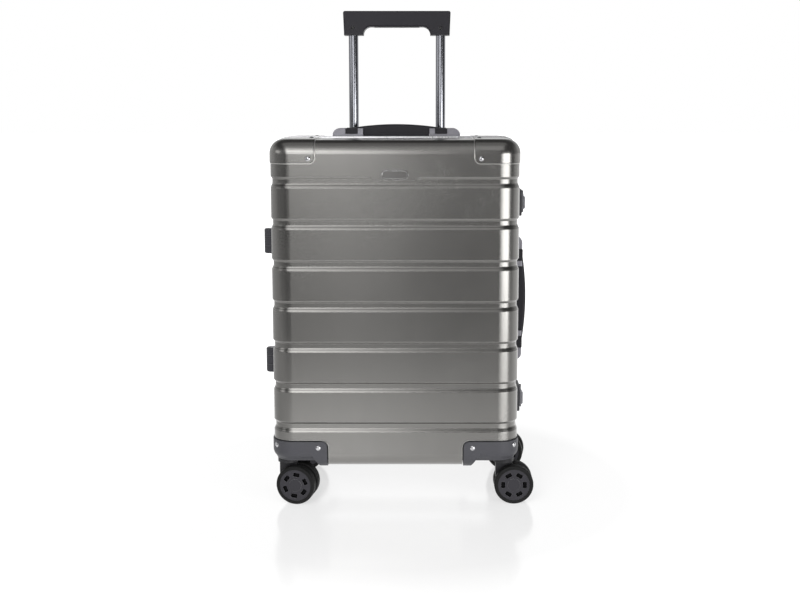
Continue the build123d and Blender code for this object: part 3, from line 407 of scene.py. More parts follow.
@dataclass(frozen=True)
class Finish:
    """Hard finish: metal, plastic or rubber, with grain, handling marks and softened edges, a painted
    highlight along the edges (a painted shade where the edge colour is dark), and painted shade in sunk lips
    and groove creases where a finish asks.
    """

    name: str
    shade: Colour
    metallic: float = 0.0
    roughness: float = 0.45
    grain_scale: float = 1200.0
    grain_stretch: float = 1.0
    grain_height: float = 0.00002
    speck: float = 0.05
    patch: float = 0.05
    patch_scale: float = 9.0
    streak: float = 0.0
    edge_radius: float = 0.0005
    edge_shade: Colour = (235, 235, 235)
    edge_amount: float = 0.15
    specular: float = 0.5
    lip_shade: Colour | None = None
    groove_shade: Colour | None = None
    darkest: float = 0.8
    lightest: float = 1.2
    tone_gain: float = 4.0
    patch_roughens: float = 2.4
    speck_roughens: float = 1.5

    def build(self, effects: Effects) -> Material:
        """Makes the material.

        Args:
            effects: Shared node groups.

        Returns:
            The finished material.
        """
        made = bpy.data.materials.new(self.name)
        lay = Canvas.cleared(made)
        grain = lay.group(effects.grain, Scale=self.grain_scale, Stretch=self.grain_stretch)
        marks = lay.group(effects.handling, Scale=self.patch_scale)
        edges = lay.group(effects.edges, Radius=self.edge_radius)
        tone: object = 0.5 - self.tone_gain / 2 * (self.speck + self.patch + self.streak)
        for mask, share in ((grain["Speck"], self.speck), (marks["Patch"], self.patch),
                            (marks["Streak"], self.streak)):
            tone = lay.maths("ADD", tone, lay.maths("MULTIPLY", mask, self.tone_gain * share))
        colour = lay.mix(tone, linear(self.shade, self.darkest), linear(self.shade, self.lightest))
        # Edges are blended towards the edge colour: a painted highlight where it is light, a painted shade
        # where it is dark.
        painted_edge_mask = lay.maths("MULTIPLY", edges["Edge"], self.edge_amount)
        colour = lay.mix(painted_edge_mask, colour, linear(self.edge_shade))
        # Painted shade: the housings' sunk lips are darkened, and a dark line is painted in each groove's
        # crease.
        for shade, group in ((self.lip_shade, effects.lip), (self.groove_shade, effects.grooves)):
            if shade:
                colour = lay.mix(lay.group(group)[0], colour, linear(shade))
        rough: object = self.roughness
        for mask, share in ((marks["Patch"], self.patch_roughens * self.patch),
                            (grain["Speck"], self.speck_roughens * self.speck)):
            rough = lay.maths("ADD", rough, lay.maths("MULTIPLY", lay.maths("SUBTRACT", mask, 0.5), share))
        bump = lay.node("ShaderNodeBump", Strength=1.0, Distance=self.grain_height, Height=grain["Height"],
                        Normal=edges["Normal"])
        lay.surface(lay.node("ShaderNodeBsdfPrincipled", Base_Color=colour, Metallic=self.metallic,
                             Roughness=rough, Normal=bump.outputs[0], Specular_IOR_Level=self.specular))
        return made


@dataclass(frozen=True)
class Cloth:
    """Woven fabric with sheen."""

    name: str
    shade: Colour
    yarns: float = 1100.0
    sheen: float = 0.25
    patch_scale: float = 14.0
    yarn_share: float = 0.7
    patch_share: float = 0.3
    darkest: float = 0.72
    lightest: float = 1.2
    weave_height: float = 0.00025
    smoothest: float = 0.72
    roughest: float = 0.86

    def build(self, effects: Effects) -> Material:
        """Makes the material.

        Args:
            effects: Shared node groups.

        Returns:
            The finished material.
        """
        made = bpy.data.materials.new(self.name)
        lay = Canvas.cleared(made)
        weave = lay.group(effects.weave, Yarns=self.yarns)
        patch = lay.group(effects.handling, Scale=self.patch_scale)["Patch"]
        tone = lay.maths("ADD", lay.maths("MULTIPLY", weave["Shade"], self.yarn_share),
                         lay.maths("MULTIPLY", patch, self.patch_share))
        colour = lay.mix(tone, linear(self.shade, self.darkest), linear(self.shade, self.lightest))
        bump = lay.node("ShaderNodeBump", Strength=0.8, Distance=self.weave_height, Height=weave["Height"])
        rough = lay.ramp(patch, 0.0, 1.0, self.smoothest, self.roughest)
        lay.surface(lay.node("ShaderNodeBsdfPrincipled", Base_Color=colour, Metallic=0.0, Roughness=rough,
                             Normal=bump.outputs[0], Sheen_Weight=self.sheen, Sheen_Roughness=0.5,
                             Specular_IOR_Level=0.3))
        return made


# Light edge colours paint a highlight and dark ones a shade along edges; the lip and groove colours paint
# shade.
FINISHES: dict[str, Finish | Cloth] = {
    "shell_metal": Finish(
        "satin gunmetal sheet", (109, 108, 106), metallic=0.95, roughness=0.26, grain_scale=1500.0,
        grain_height=0.000006, speck=0.02, patch=0.02, patch_scale=5.0, streak=0.01,
        edge_radius=0.0012, edge_shade=(225, 224, 222), edge_amount=0.2, groove_shade=(64, 63, 62)),
    "guard_metal": Finish(
        "satin guard sheet", (112, 111, 109), metallic=0.95, roughness=0.25, grain_scale=1500.0,
        grain_height=0.000006, speck=0.02, patch=0.02, streak=0.01,
        edge_radius=0.0006, edge_shade=(60, 60, 60), edge_amount=0.5),
    "frame_metal": Finish(
        "brushed frame extrusion", (186, 186, 188), metallic=0.95, roughness=0.3, grain_stretch=0.06,
        grain_height=0.00001, patch=0.03, streak=0.03,
        edge_radius=0.0004, edge_shade=(245, 245, 245), edge_amount=0.4),
    "bright_metal": Finish(
        "polished rivet metal", (158, 158, 160), metallic=1.0, roughness=0.2, grain_scale=1600.0,
        grain_height=0.000004, speck=0.02, patch=0.03),
    "badge_metal": Finish(
        "dark badge metal", (98, 97, 96), metallic=0.95, roughness=0.22, grain_scale=1500.0,
        grain_height=0.000006, speck=0.03, patch=0.03, streak=0.01, edge_radius=0.0008, edge_amount=0.8),
    "pin_steel": Finish(
        "turned steel", (150, 151, 154), metallic=1.0, roughness=0.3, grain_scale=1600.0, grain_stretch=0.1,
        grain_height=0.000008, speck=0.04, patch=0.04),
    "lever_metal": Finish(
        "satin lever metal", (104, 104, 108), metallic=0.9, roughness=0.32, grain_scale=1400.0,
        grain_height=0.00001, speck=0.04, patch=0.04),
    "dial_metal": Finish(
        "dark dial metal", (70, 70, 73), metallic=0.8, roughness=0.35, grain_scale=1400.0,
        grain_height=0.00001, speck=0.04, patch=0.04),
    "tube_metal": Finish(
        "satin tube", (118, 119, 124), metallic=1.0, roughness=0.16, grain_scale=1300.0, grain_stretch=0.05,
        grain_height=0.0000001, speck=0.01, patch=0.02, edge_radius=0.00005),
    "housing_plastic": Finish(
        "grained housing plastic", (58, 58, 62), roughness=0.5, grain_scale=1100.0, grain_height=0.00004,
        specular=0.3, lip_shade=(4, 4, 4)),
    "dark_fittings": Finish(
        "dark fitting plastic", (52, 52, 56), grain_scale=1100.0, grain_height=0.00004, specular=0.25),
    "bracket_plastic": Finish(
        "satin bracket plastic", (116, 115, 121), metallic=0.35, roughness=0.42, speck=0.04, patch=0.04),
    "grip_plastic": Finish(
        "soft touch grip plastic", (31, 30, 34), roughness=0.48, grain_scale=1300.0, grain_height=0.00003,
        patch=0.06, specular=0.16),
    "button_plastic": Finish(
        "smooth button plastic", (14, 14, 15), roughness=0.3, grain_scale=1300.0, grain_height=0.00001,
        speck=0.03, specular=0.3),
    "fork_plastic": Finish(
        "satin fork plastic", (34, 34, 36), roughness=0.42, grain_height=0.00003, specular=0.18),
    "hub_plastic": Finish(
        "satin hub plastic", (42, 41, 45), roughness=0.4, patch=0.06, patch_scale=30.0, specular=0.2),
    "tyre_rubber": Finish(
        "tyre rubber", (20, 20, 20), roughness=0.58, grain_scale=1000.0, grain_height=0.00006,
        speck=0.08, patch=0.1, patch_scale=40.0,
        edge_radius=0.0006, edge_shade=(34, 33, 33), edge_amount=0.3, specular=0.12),
    "lining_fabric": Cloth("lining fabric", (58, 60, 66)),
}


EXTRA_FINISHES: tuple[Finish | Cloth, ...] = (
    Finish("bright pressed bead", (178, 177, 174), metallic=0.95, roughness=0.3, grain_scale=1500.0,
           grain_height=0.000004, speck=0.02, patch=0.03),
    Finish("rolled shell edge", (138, 137, 135), metallic=0.95, roughness=0.3, grain_scale=1500.0,
           grain_height=0.000004, speck=0.02, patch=0.03),
    Finish("dark hub inside", (7, 7, 8), roughness=0.7, speck=0.03, patch=0.03, specular=0.05),
    Cloth("hem tape", (44, 45, 49), yarns=1600.0),
    Cloth("sewing thread", (150, 151, 154), yarns=5000.0),
)


def loose_mesh(name: str, points: Sequence[Point], edges: Sequence[tuple[int, int]] = (),
               faces: Sequence[Face] = ()) -> Mesh:
    """Makes a mesh with smooth faces.

    Args:
        name: Name of the mesh.
        points: Corners, in metres.
        edges: Pairs of corners.
        faces: Loops of corners.

    Returns:
        The mesh.
    """
    mesh = bpy.data.meshes.new(name)
    mesh.from_pydata([tuple(point) for point in points], list(edges), list(faces))
    shade_faces(mesh, True)
    return mesh


def into_scene(name: str, data: bpy.types.ID) -> bpy.types.Object:
    """Makes an object of a mesh, a lamp or a camera and links it into the scene.

    Args:
        name: Name of the object.
        data: What it shows.

    Returns:
        The object.
    """
    made = bpy.data.objects.new(name, data)
    bpy.context.scene.collection.objects.link(made)
    return made


def rounded_corner(quarter: int, wide: float, tall: float, radius: float,
                   steps: int) -> list[tuple[Flat, Flat]]:
    """Points of one corner of a rounded rectangle about the origin.

    Args:
        quarter: Number of the corner, as in CORNER_SIGNS.
        wide: Half of the rectangle's width.
        tall: Half of its height.
        radius: Radius of the corner.
        steps: Number of points.

    Returns:
        Pairs of a point and its outward direction.
    """
    across, up = CORNER_SIGNS[quarter]
    points = []
    for step in range(steps):
        turn = math.pi / 2 * (quarter + step / (steps - 1))
        out = (math.cos(turn), math.sin(turn))
        spot = (across * (wide - radius) + radius * out[0], up * (tall - radius) + radius * out[1])
        points.append((spot, out))
    return points


def shade_faces(mesh: Mesh, smooth: bool) -> None:
    """Shades every face of a mesh smooth or flat."""
    for face in mesh.polygons:
        face.use_smooth = smooth


def face_out(mesh: Mesh, smooth: bool = True, merge: float = 0.0) -> None:
    """Turns the faces of a closed mesh outwards, in place.

    Args:
        mesh: The mesh.
        smooth: Whether its faces are shaded smooth.
        merge: Distance under which points are merged first, or zero to keep them all.
    """
    shape = bmesh.new()
    shape.from_mesh(mesh)
    if merge:
        bmesh.ops.remove_doubles(shape, verts=shape.verts, dist=merge)
    bmesh.ops.recalc_face_normals(shape, faces=shape.faces)
    bmesh.ops.triangulate(shape, faces=[face for face in shape.faces if len(face.verts) > 4])
    shape.to_mesh(mesh)
    shape.free()
    shade_faces(mesh, smooth)


def circle(radius: float, height: float, sides: int) -> list[Point]:
    """Points of a level circle about Z."""
    turns = [2 * math.pi * step / sides for step in range(sides)]
    return [(radius * math.cos(turn), radius * math.sin(turn), height) for turn in turns]


def fan(hub: int, first: int, count: int) -> list[Face]:
    """Triangles from one point to the sides of a loop that starts at another."""
    return [(hub, first + step, first + (step + 1) % count) for step in range(count)]


def bands(loops: int, count: int, first: int = 0, closed: bool = False) -> list[Face]:
    """Quads between loops of points that follow each other.

    Args:
        loops: Number of loops.
        count: Points in each loop.
        first: Number of the first loop's first point.
        closed: Whether the last loop joins the first.

    Returns:
        Faces of four corners.
    """
    faces: list[Face] = []
    for loop in range(loops if closed else loops - 1):
        low, high = first + loop * count, first + (loop + 1) % loops * count
        for step in range(count):
            after = (step + 1) % count
            faces.append((low + step, low + after, high + after, high + step))
    return faces


def turned(name: str, outline: Sequence[Flat], sides: int) -> Mesh:
    """Turns an outline about Z.

    Args:
        name: Name of the mesh.
        outline: Radius and height, from the top of the axis to its foot.
        sides: Corners of each ring.

    Returns:
        A closed mesh.
    """
    rings = [point for radius, height in outline for point in circle(radius, height, sides)]
    points: list[Point] = [(0.0, 0.0, outline[0][1]), *rings, (0.0, 0.0, outline[-1][1])]
    last = len(points) - 1
    faces = fan(0, 1, sides) + bands(len(outline), sides, first=1) + fan(last, last - sides, sides)
    return loose_mesh(name, points, faces=faces)


class NodeTrees:
    """Geometry Nodes trees for what repeats and for what follows a path."""

    seed: int = 7
    sides: int = 10

    def __init__(self) -> None:
        """Builds both trees once."""
        self.repeater = self._repeater()
        self.piping = self._piping()

    @staticmethod
    def _start(name: str,
               inputs: dict[str, tuple[str, object]]) -> tuple[Tree, Canvas, Sockets]:
        """Makes an empty tree with named inputs.

        Args:
            name: Name of the tree.
            inputs: Socket type and default by name.

        Returns:
            The tree, a canvas on it and what it is given.
        """
        tree = bpy.data.node_groups.new(name, "GeometryNodeTree")
        tree.interface.new_socket(name="Geometry", in_out="INPUT", socket_type="NodeSocketGeometry")
        for word, (kind, value) in inputs.items():
            socket = tree.interface.new_socket(name=word, in_out="INPUT", socket_type=kind)
            if value is not None:
                socket.default_value = value
        tree.interface.new_socket(name="Geometry", in_out="OUTPUT", socket_type="NodeSocketGeometry")
        lay = Canvas(tree)
        return tree, lay, lay.node("NodeGroupInput").outputs

    @staticmethod
    def _end(lay: Canvas, shape: Socket, given: Sockets) -> None:
        """Closes a tree with real geometry and its material.

        Args:
            lay: Canvas of the tree.
            shape: Geometry to close with.
            given: What the tree is given.
        """
        real = lay.node("GeometryNodeRealizeInstances", Geometry=shape)
        painted = lay.node("GeometryNodeSetMaterial", Geometry=real.outputs[0], Material=given["Material"])
        lay.node("NodeGroupOutput", Geometry=painted.outputs[0])

    def _repeater(self) -> Tree:
        """Sets one unit on each point, its Z along the attribute way and its X near the attribute along."""
        tree, lay, given = self._start("repeater", {
            "Unit": ("NodeSocketObject", None), "Scale": (NUMBER, 1.0), "Sway": (NUMBER, 0.0),
            "Seed": ("NodeSocketInt", self.seed), "Material": ("NodeSocketMaterial", None)})
        unit = lay.node("GeometryNodeObjectInfo", Object=given["Unit"])
        way, along = (lay.node("GeometryNodeInputNamedAttribute", data_type="FLOAT_VECTOR", Name=word)
                      for word in ("way", "along"))
        upright = lay.node("FunctionNodeAlignRotationToVector", axis="Z", Vector=way.outputs["Attribute"])
        facing = lay.node("FunctionNodeAlignRotationToVector", axis="X", pivot_axis="Z",
                          Rotation=upright.outputs[0], Vector=along.outputs["Attribute"])
        chance = lay.node("FunctionNodeRandomValue", data_type="FLOAT", Seed=given["Seed"])
        lay.link(given["Sway"], next(s for s in chance.inputs if s.name == "Max" and s.type == "VALUE"))
        spin = lay.node("ShaderNodeCombineXYZ", Z=next(s for s in chance.outputs if s.type == "VALUE"))
        turn = lay.node("FunctionNodeEulerToRotation", Euler=spin.outputs[0])
        swayed = lay.node("FunctionNodeRotateRotation", rotation_space="LOCAL", Rotation=facing.outputs[0],
                          Rotate_By=turn.outputs[0])
        copies = lay.node("GeometryNodeInstanceOnPoints", Points=given["Geometry"],
                          Instance=unit.outputs["Geometry"], Rotation=swayed.outputs[0], Scale=given["Scale"])
        self._end(lay, copies.outputs["Instances"], given)
        return tree

    def _piping(self) -> Tree:
        """Sweeps a round section along the edges of a mesh."""
        tree, lay, given = self._start("piping", {
            "Radius": (NUMBER, 0.001), "Sides": ("NodeSocketInt", self.sides),
            "Material": ("NodeSocketMaterial", None)})
        path = lay.node("GeometryNodeMeshToCurve", Mesh=given["Geometry"])
        section = lay.node("GeometryNodeCurvePrimitiveCircle", Resolution=given["Sides"],
                           Radius=given["Radius"])
        swept = lay.node("GeometryNodeCurveToMesh", Curve=path.outputs[0], Profile_Curve=section.outputs[0],
                         Fill_Caps=True)
        self._end(lay, swept.outputs["Mesh"], given)
        return tree

    @staticmethod
    def run(tree: Tree, source: Mesh, name: str,
            inputs: dict[str, object]) -> Mesh:
        """Runs a tree on a mesh.

        Args:
            tree: The tree.
            source: Mesh that goes in.
            name: Name of the result.
            inputs: Values by the names of the tree's inputs.

        Returns:
            The result as a plain mesh.
        """
        holder = into_scene(f"{name}.source", source)
        modifier = holder.modifiers.new("nodes", "NODES")
        modifier.node_group = tree
        for item in tree.interface.items_tree:
            if item.item_type == "SOCKET" and item.in_out == "INPUT" and item.name in inputs:
                modifier[item.identifier] = inputs[item.name]
        bpy.context.view_layer.update()
        ready = holder.evaluated_get(bpy.context.evaluated_depsgraph_get())
        mesh = bpy.data.meshes.new_from_object(ready)
        mesh.name = name
        holder.modifiers.remove(modifier)
        bpy.data.objects.remove(holder)
        face_out(mesh)
        for word in ("way", "along"):
            if word in mesh.attributes:
                mesh.attributes.remove(mesh.attributes[word])
        return mesh


@dataclass(frozen=True)
class Seat:
    """Place of one repeated unit: where it sits, which way it points and how it is turned."""

    place: Point
    way: Point
    along: Point


class Workshop:
    """Keeps the built materials and trees, and dresses CAD nodes and new pieces with them."""

    def __init__(self, case: CaseShape) -> None:
        """Builds the effects, the trees and every finish.

        Args:
            case: Sizes that the effects follow.
        """
        effects = Effects(case)
        self.trees = NodeTrees()
        self.materials = {slot: finish.build(effects) for slot, finish in FINISHES.items()}
        self.extras = {finish.name: finish.build(effects) for finish in EXTRA_FINISHES}
        self.slots = {part["node"]: part["material_slot"] for part in frame["record"]["subparts"]}

    def dress_node(self, node: str) -> None:
        """Gives a CAD node the finish of its slot.

        Args:
            node: Name of the node.
        """
        piece = frame["nodes"][node]
        piece.data.materials.clear()
        piece.data.materials.append(self.materials[self.slots[node]])
        LOG.info("dressed %s", node)

    def place(self, mesh: Mesh, body: str, slot: str,
              stands_for: tuple[str, ...] = ()) -> bpy.types.Object:
        """Puts a finished mesh into the scene as a piece of a body.

        Args:
            mesh: The mesh, in the frame's metres, with the name of the piece.
            body: CAD body it moves with.
            slot: Material slot it takes its finish from.
            stands_for: CAD nodes that it replaces.

        Returns:
            The new piece.
        """
        piece = into_scene(mesh.name, mesh)
        if not mesh.materials:
            mesh.materials.append(self.materials[slot])
        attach(piece, body)
        if stands_for:
            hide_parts(*stands_for)
        LOG.info("placed %s on %s", piece.name, body)
        return piece

    def repeat(self, unit: Mesh, seats: Sequence[Seat], name: str, material: Material,
               sway: float = 0.0) -> Mesh:
        """Sets copies of a unit on seats.

        Args:
            unit: Mesh that is repeated, its Z pointing out.
            seats: Where the copies sit.
            name: Name of the result.
            material: Finish of the copies.
            sway: Largest chance turn about Z, in radians.

        Returns:
            One plain mesh of all copies.
        """
        source = loose_mesh(f"{name}.seats", [seat.place for seat in seats])
        for word in ("way", "along"):
            layer = source.attributes.new(word, "FLOAT_VECTOR", "POINT")
            layer.data.foreach_set("vector", [number for seat in seats for number in getattr(seat, word)])
        pattern = into_scene(f"{name}.unit", unit)
        inputs = {"Unit": pattern, "Scale": 1.0, "Sway": sway, "Seed": self.trees.seed, "Material": material}
        mesh = self.trees.run(self.trees.repeater, source, name, inputs)
        bpy.data.objects.remove(pattern)
        return mesh

    def pipe(self, paths: Sequence[Sequence[Point]], closed: bool, radius: float, name: str,
             material: Material) -> Mesh:
        """Sweeps a round section along paths.

        Args:
            paths: Points of each path.
            closed: Whether each path ends where it starts.
            radius: Radius of the section.
            name: Name of the result.
            material: Finish of the result.

        Returns:
            One plain mesh of all paths.
        """
        points: list[Point] = []
        edges: list[tuple[int, int]] = []
        for path in paths:
            first = len(points)
            points += path
            edges += [(first + i, first + i + 1) for i in range(len(path) - 1)]
            if closed:
                edges.append((len(points) - 1, first))
        source = loose_mesh(f"{name}.path", points, edges)
        inputs = {"Radius": radius, "Sides": self.trees.sides, "Material": material}
        return self.trees.run(self.trees.piping, source, name, inputs)


@dataclass
class Shells:
    """The two shells with their frames, corner guards, caster housings and pressed beads, the beads painted
    lighter as a painted highlight.
    """

    case: CaseShape
    guard_gap: float = 0.0014
    guard_bead: float = 0.0007
    housing_gap: float = 0.0021
    housing_bead: float = 0.0005
    under_angle: float = -80.0
    arc_steps: int = 10
    nodes: tuple[str, ...] = ("shell", "frame", "corner_guards", "caster_housings")

    def build(self, shop: Workshop) -> None:
        """Dresses the nodes of both halves and adds their beads.

        Args:
            shop: Materials and trees.
        """
        for half in Half:
            for word in self.nodes:
                shop.dress_node(f"{half.word}_{word}")
            # The beads take lighter copies of the guard and shell metal: a painted highlight along the guards
            # and housings.
            for word, path, radius, finish, slot in (
                ("guard_beads", self._guard_path(), self.guard_bead, "bright pressed bead", "guard_metal"),
                ("housing_beads", self._housing_path(), self.housing_bead, "rolled shell edge",
                 "shell_metal"),
            ):
                paths = [[(hand * x, half.value * y, z) for x, y, z in path] for hand in (-1, 1)]
                mesh = shop.pipe(paths, False, radius, f"{half.word}_{word}", shop.extras[finish])
                shop.place(mesh, half.body, slot)

    def _arc(self, across: float, up: float, radius: float, start: float, end: float) -> list[Flat]:
        """Points of an arc in a plane.

        Args:
            across: First coordinate of its centre.
            up: Second coordinate of its centre.
            radius: Its radius.
            start: First angle in degrees.
            end: Last angle in degrees.

        Returns:
            Points from the first angle to the last.
        """
        steps = range(self.arc_steps + 1)
        turns = [math.radians(start + (end - start) * step / self.arc_steps) for step in steps]
        return [(across + radius * math.cos(turn), up + radius * math.sin(turn)) for turn in turns]

    def _upright(self) -> list[Flat]:
        """Round of the shell's upright edge from the face to the side, as x and y."""
        radius = self.case.upright_radius
        return self._arc(self.case.half_width - radius, self.case.half_depth - radius, radius, 90, 0)

    def _guard_path(self) -> list[Point]:
        """Path on the shell just outside a guard, from the mouth over the top and round to the mouth again.

        Returns:
            Points of the path on the right of the rear half.
        """
        case = self.case
        rim = case.rim_radius
        inner = case.half_width - case.guard_width - self.guard_gap
        low = case.top - case.guard_height - self.guard_gap
        corner = case.guard_corner + self.guard_gap
        path: list[Point] = [(inner, case.mouth, case.top)]
        path += [(inner, y, z) for y, z in self._arc(case.half_depth - rim, case.top - rim, rim, 90, 0)]
        bend = self._arc(inner + corner, low + corner, corner, 180, 270)
        path += [(x, case.half_depth, z) for x, z in bend]
        path += [(x, y, low) for x, y in self._upright()]
        path.append((case.half_width, case.mouth, low))
        return path

    def _housing_path(self) -> list[Point]:
        """Path on the shell just outside a housing, from under the face up and round to under the side.

        Returns:
            Points of the path on the right of the rear half.
        """
        case = self.case
        rim = case.rim_radius
        under = case.bottom + rim
        inner = case.half_width - case.housing_width - self.housing_gap
        back = case.half_depth - case.housing_depth - self.housing_gap
        high = case.housing_top + self.housing_gap
        corner = case.housing_corner + self.housing_gap
        face = self._arc(case.half_depth - rim, under, rim, self.under_angle, 0)
        path: list[Point] = [(inner, y, z) for y, z in face]
        bend = self._arc(inner + corner, high - corner, corner, 180, 90)
        path += [(x, case.half_depth, z) for x, z in bend]
        path += [(x, y, high) for x, y in self._upright()]
        path += [(case.half_width, y, z) for y, z in self._arc(back + corner, high - corner, corner, 90, 180)]
        path += [(x, back, z) for x, z in self._arc(case.half_width - rim, under, rim, 0, self.under_angle)]
        return path


@dataclass
class Rivets:
    """Domed rivets of the guards and housings."""

    case: CaseShape
    guard_across: float = 0.123
    guard_down: float = 0.0264
    guard_along: float = 0.0465
    house_across: float = 0.113
    house_along: float = 0.053
    house_down: float = 0.009
    corner_down: float = 0.007
    corner_angle: float = 51.0
    head_radius: float = 0.0039
    head_height: float = 0.0016
    largest_turn: float = 6.0
    sides: int = 28
    dome: tuple[Flat, ...] = ((0.2, 1.0), (0.36, 0.94), (0.55, 0.8), (0.72, 0.58), (0.86, 0.34), (0.95, 0.14),
                              (1.0, 0.02), (0.99, -0.12), (0.8, -0.16))

    def build(self, shop: Workshop) -> None:
        """Sets the rivets of both halves.

        Args:
            shop: Materials and trees.
        """
        for half in Half:
            mesh = shop.repeat(self._unit(), self._seats(half), f"{half.word}_rivet_heads",
                               shop.materials["bright_metal"], self.largest_turn)
            shop.place(mesh, half.body, "bright_metal", (f"{half.word}_rivets",))

    def _unit(self) -> Mesh:
        """One head: a low dome with a small flat, a turned-in skirt and a seat."""
        outline = [(self.head_radius * radius, self.head_height * height) for radius, height in self.dome]
        return turned("rivet head", outline, self.sides)

    def _seats(self, half: Half) -> list[Seat]:
        """Places and axes of the rivets of one half.

        Args:
            half: The half.

        Returns:
            Two seats for each guard and three for each housing.
        """
        case = self.case
        side = half.value
        turn = math.radians(self.corner_angle)
        face = side * (case.half_depth + case.housing_proud)
        height = case.housing_top - self.house_down
        reach = case.upright_radius + case.housing_proud
        seats = []
        for hand in (-1, 1):
            slant = (hand * math.sin(turn), side * math.cos(turn), 0.0)
            corner = (hand * (case.half_width - case.upright_radius) + slant[0] * reach,
                      side * (case.half_depth - case.upright_radius) + slant[1] * reach,
                      case.housing_top - self.corner_down)
            guard = hand * self.guard_across
            seats += [
                Seat((guard, side * (case.half_depth + case.guard_proud), case.top - self.guard_down),
                     (0, side, 0), (1, 0, 0)),
                Seat((guard, side * self.guard_along, case.top + case.guard_proud), (0, 0, 1), (1, 0, 0)),
                Seat((hand * self.house_across, face, height), (0, side, 0), (1, 0, 0)),
                Seat((hand * (case.half_width + case.housing_proud), side * self.house_along, height),
                     (hand, 0, 0), (0, 0, 1)),
                Seat(corner, slant, (0, 0, 1)),
            ]
        return seats


@dataclass
class Lining:
    """Lining of one half: a slack fabric tray with pleated corners, a hem, stitches and a stiff border."""

    half: Half
    corner: float = 0.018
    least_corner: float = 0.001
    bend: float = 0.027
    clearance: float = 0.0004
    thickness: float = 0.0016
    floor_left: float = 0.003
    merge: float = 0.00001
    sag: float = 0.0026
    broad_scale: Point = (9.0, 16.0, 7.0)
    broad_shift: float = 3.0
    fine_scale: Point = (26.0, 34.0, 22.0)
    fine_shift: float = -5.0
    fine_share: float = 0.35
    crease_scale: Point = (14.0, 10.0, 30.0)
    crease_shift: float = 4.0
    crease_share: float = 0.5
    crease_sharpness: float = 5.0
    pleat: float = 0.0009
    pleat_turn: float = 2.4
    tight_rows: int = 3
    ease_rows: float = 4.0
    floor_ease_rows: float = 8.0
    hem_radius: float = 0.0013
    border_inset: float = 0.004
    border_corner: float = 0.016
    border_lap: float = 0.0008
    border_back: float = 0.0003
    border_thickness: float = 0.0014
    stitch_down: float = 0.006
    stitch_length: float = 0.0034
    stitch_pitch: float = 0.005
    stitch_radius: float = 0.00035
    stitch_end: float = 0.55
    stitch_rings: int = 5
    stitch_sides: int = 6
    straight_steps: int = 38
    corner_steps: int = 9
    wall_steps: int = 16
    bend_steps: int = 8
    floor_steps: int = 26
    middle: Flat = field(init=False)
    reach: Flat = field(init=False)
    mouth: float = field(init=False)
    floor: float = field(init=False)

    def __post_init__(self) -> None:
        """Takes the tray's place and sizes from the CAD lining."""
        side = self.half.value
        low, high = box_corners(f"{self.half.word}_lining")
        self.middle = ((low.x + high.x) / 2, (low.z + high.z) / 2)
        self.reach = ((high.x - low.x) / 2 - self.clearance, (high.z - low.z) / 2 - self.clearance)
        near, far = sorted((low.y, high.y), key=abs)
        self.mouth = near + side * self.clearance
        self.floor = far - side * self.clearance

    def build(self, shop: Workshop) -> None:
        """Builds the tray with its border, hem and stitches.

        Args:
            shop: Materials and trees.
        """
        word = f"{self.half.word}_lining"
        tray = shop.place(self._tray(f"{word}_cloth"), self.half.body, "lining_fabric", (word,))
        shop.place(self._border(f"{word}_border"), self.half.body, "lining_fabric")
        row = (self.mouth + self.half.value * self.hem_radius, 0.0, 0.0)
        hem = [self._spot(point, row, self.thickness) for point in self._ring(0.0)]
        mesh = shop.pipe([hem], True, self.hem_radius, f"{word}_hem", shop.extras["hem tape"])
        shop.place(mesh, self.half.body, "lining_fabric")
        mesh = shop.repeat(self._stitch(), self._stitch_seats(), f"{word}_stitches",
                           shop.extras["sewing thread"])
        shop.place(mesh, self.half.body, "lining_fabric")

    def _ring(self, inset: float) -> list[tuple[Flat, Flat]]:
        """Ring of the tray about its middle, inside the widest one by an inset."""
        radius = max(self.least_corner, self.corner - inset)
        return self._outline(self.reach[0] - inset, self.reach[1] - inset, radius)

    def _outline(self, wide: float, tall: float, radius: float) -> list[tuple[Flat, Flat]]:
        """Points of a rounded rectangle about the origin with their inward directions.

        Args:
            wide: Half of its width.
            tall: Half of its height.
            radius: Radius of its corners.

        Returns:
            Pairs of a point and a direction, each with x and z.
        """
        ring: list[tuple[Flat, Flat]] = []
        for quarter in range(len(CORNER_SIGNS)):
            bend = rounded_corner(quarter, wide, tall, radius, self.corner_steps)
            ring += [(spot, (-x, -z)) for spot, (x, z) in bend]
            start, inward = ring[-1]
            sx, sz = CORNER_SIGNS[(quarter + 1) % len(CORNER_SIGNS)]
            goal = (sx * (wide - radius) - radius * inward[0], sz * (tall - radius) - radius * inward[1])
            for step in range(1, self.straight_steps):
                share = step / self.straight_steps
                spot = (start[0] + (goal[0] - start[0]) * share, start[1] + (goal[1] - start[1]) * share)
                ring.append((spot, inward))
        return ring

    def _profile(self) -> list[tuple[float, float, float]]:
        """Rows of the tray from the mouth to the middle of the floor.

        Returns:
            Depth and inset of each row, and how far the surface has turned there.
        """
        side = self.half.value
        start = self.floor - side * self.bend
        rows = []
        for step in range(self.wall_steps):
            rows.append((self.mouth + (start - self.mouth) * step / self.wall_steps, 0.0, 0.0))
        for step in range(self.bend_steps + 1):
            turn = math.pi / 2 * step / self.bend_steps
            rows.append((start + side * self.bend * math.sin(turn), self.bend * (1 - math.cos(turn)), turn))
        far = min(self.reach) - self.floor_left
        for step in range(1, self.floor_steps + 1):
            rows.append((self.floor, self.bend + (far - self.bend) * step / self.floor_steps, math.pi / 2))
        return rows

    def _spot(self, point: tuple[Flat, Flat], row: tuple[float, float, float], lift: float) -> Point:
        """Point of the tray lifted off its outer face.

        Args:
            point: Ring point with its inward direction.
            row: Depth, inset and turn of the row.
            lift: Distance from the outer face, inwards.

        Returns:
            The point in the frame.
        """
        (x, z), (way_x, way_z) = point
        depth, _, turn = row
        flat = lift * math.cos(turn)
        return (self.middle[0] + x + way_x * flat, depth - self.half.value * lift * math.sin(turn),
                self.middle[1] + z + way_z * flat)

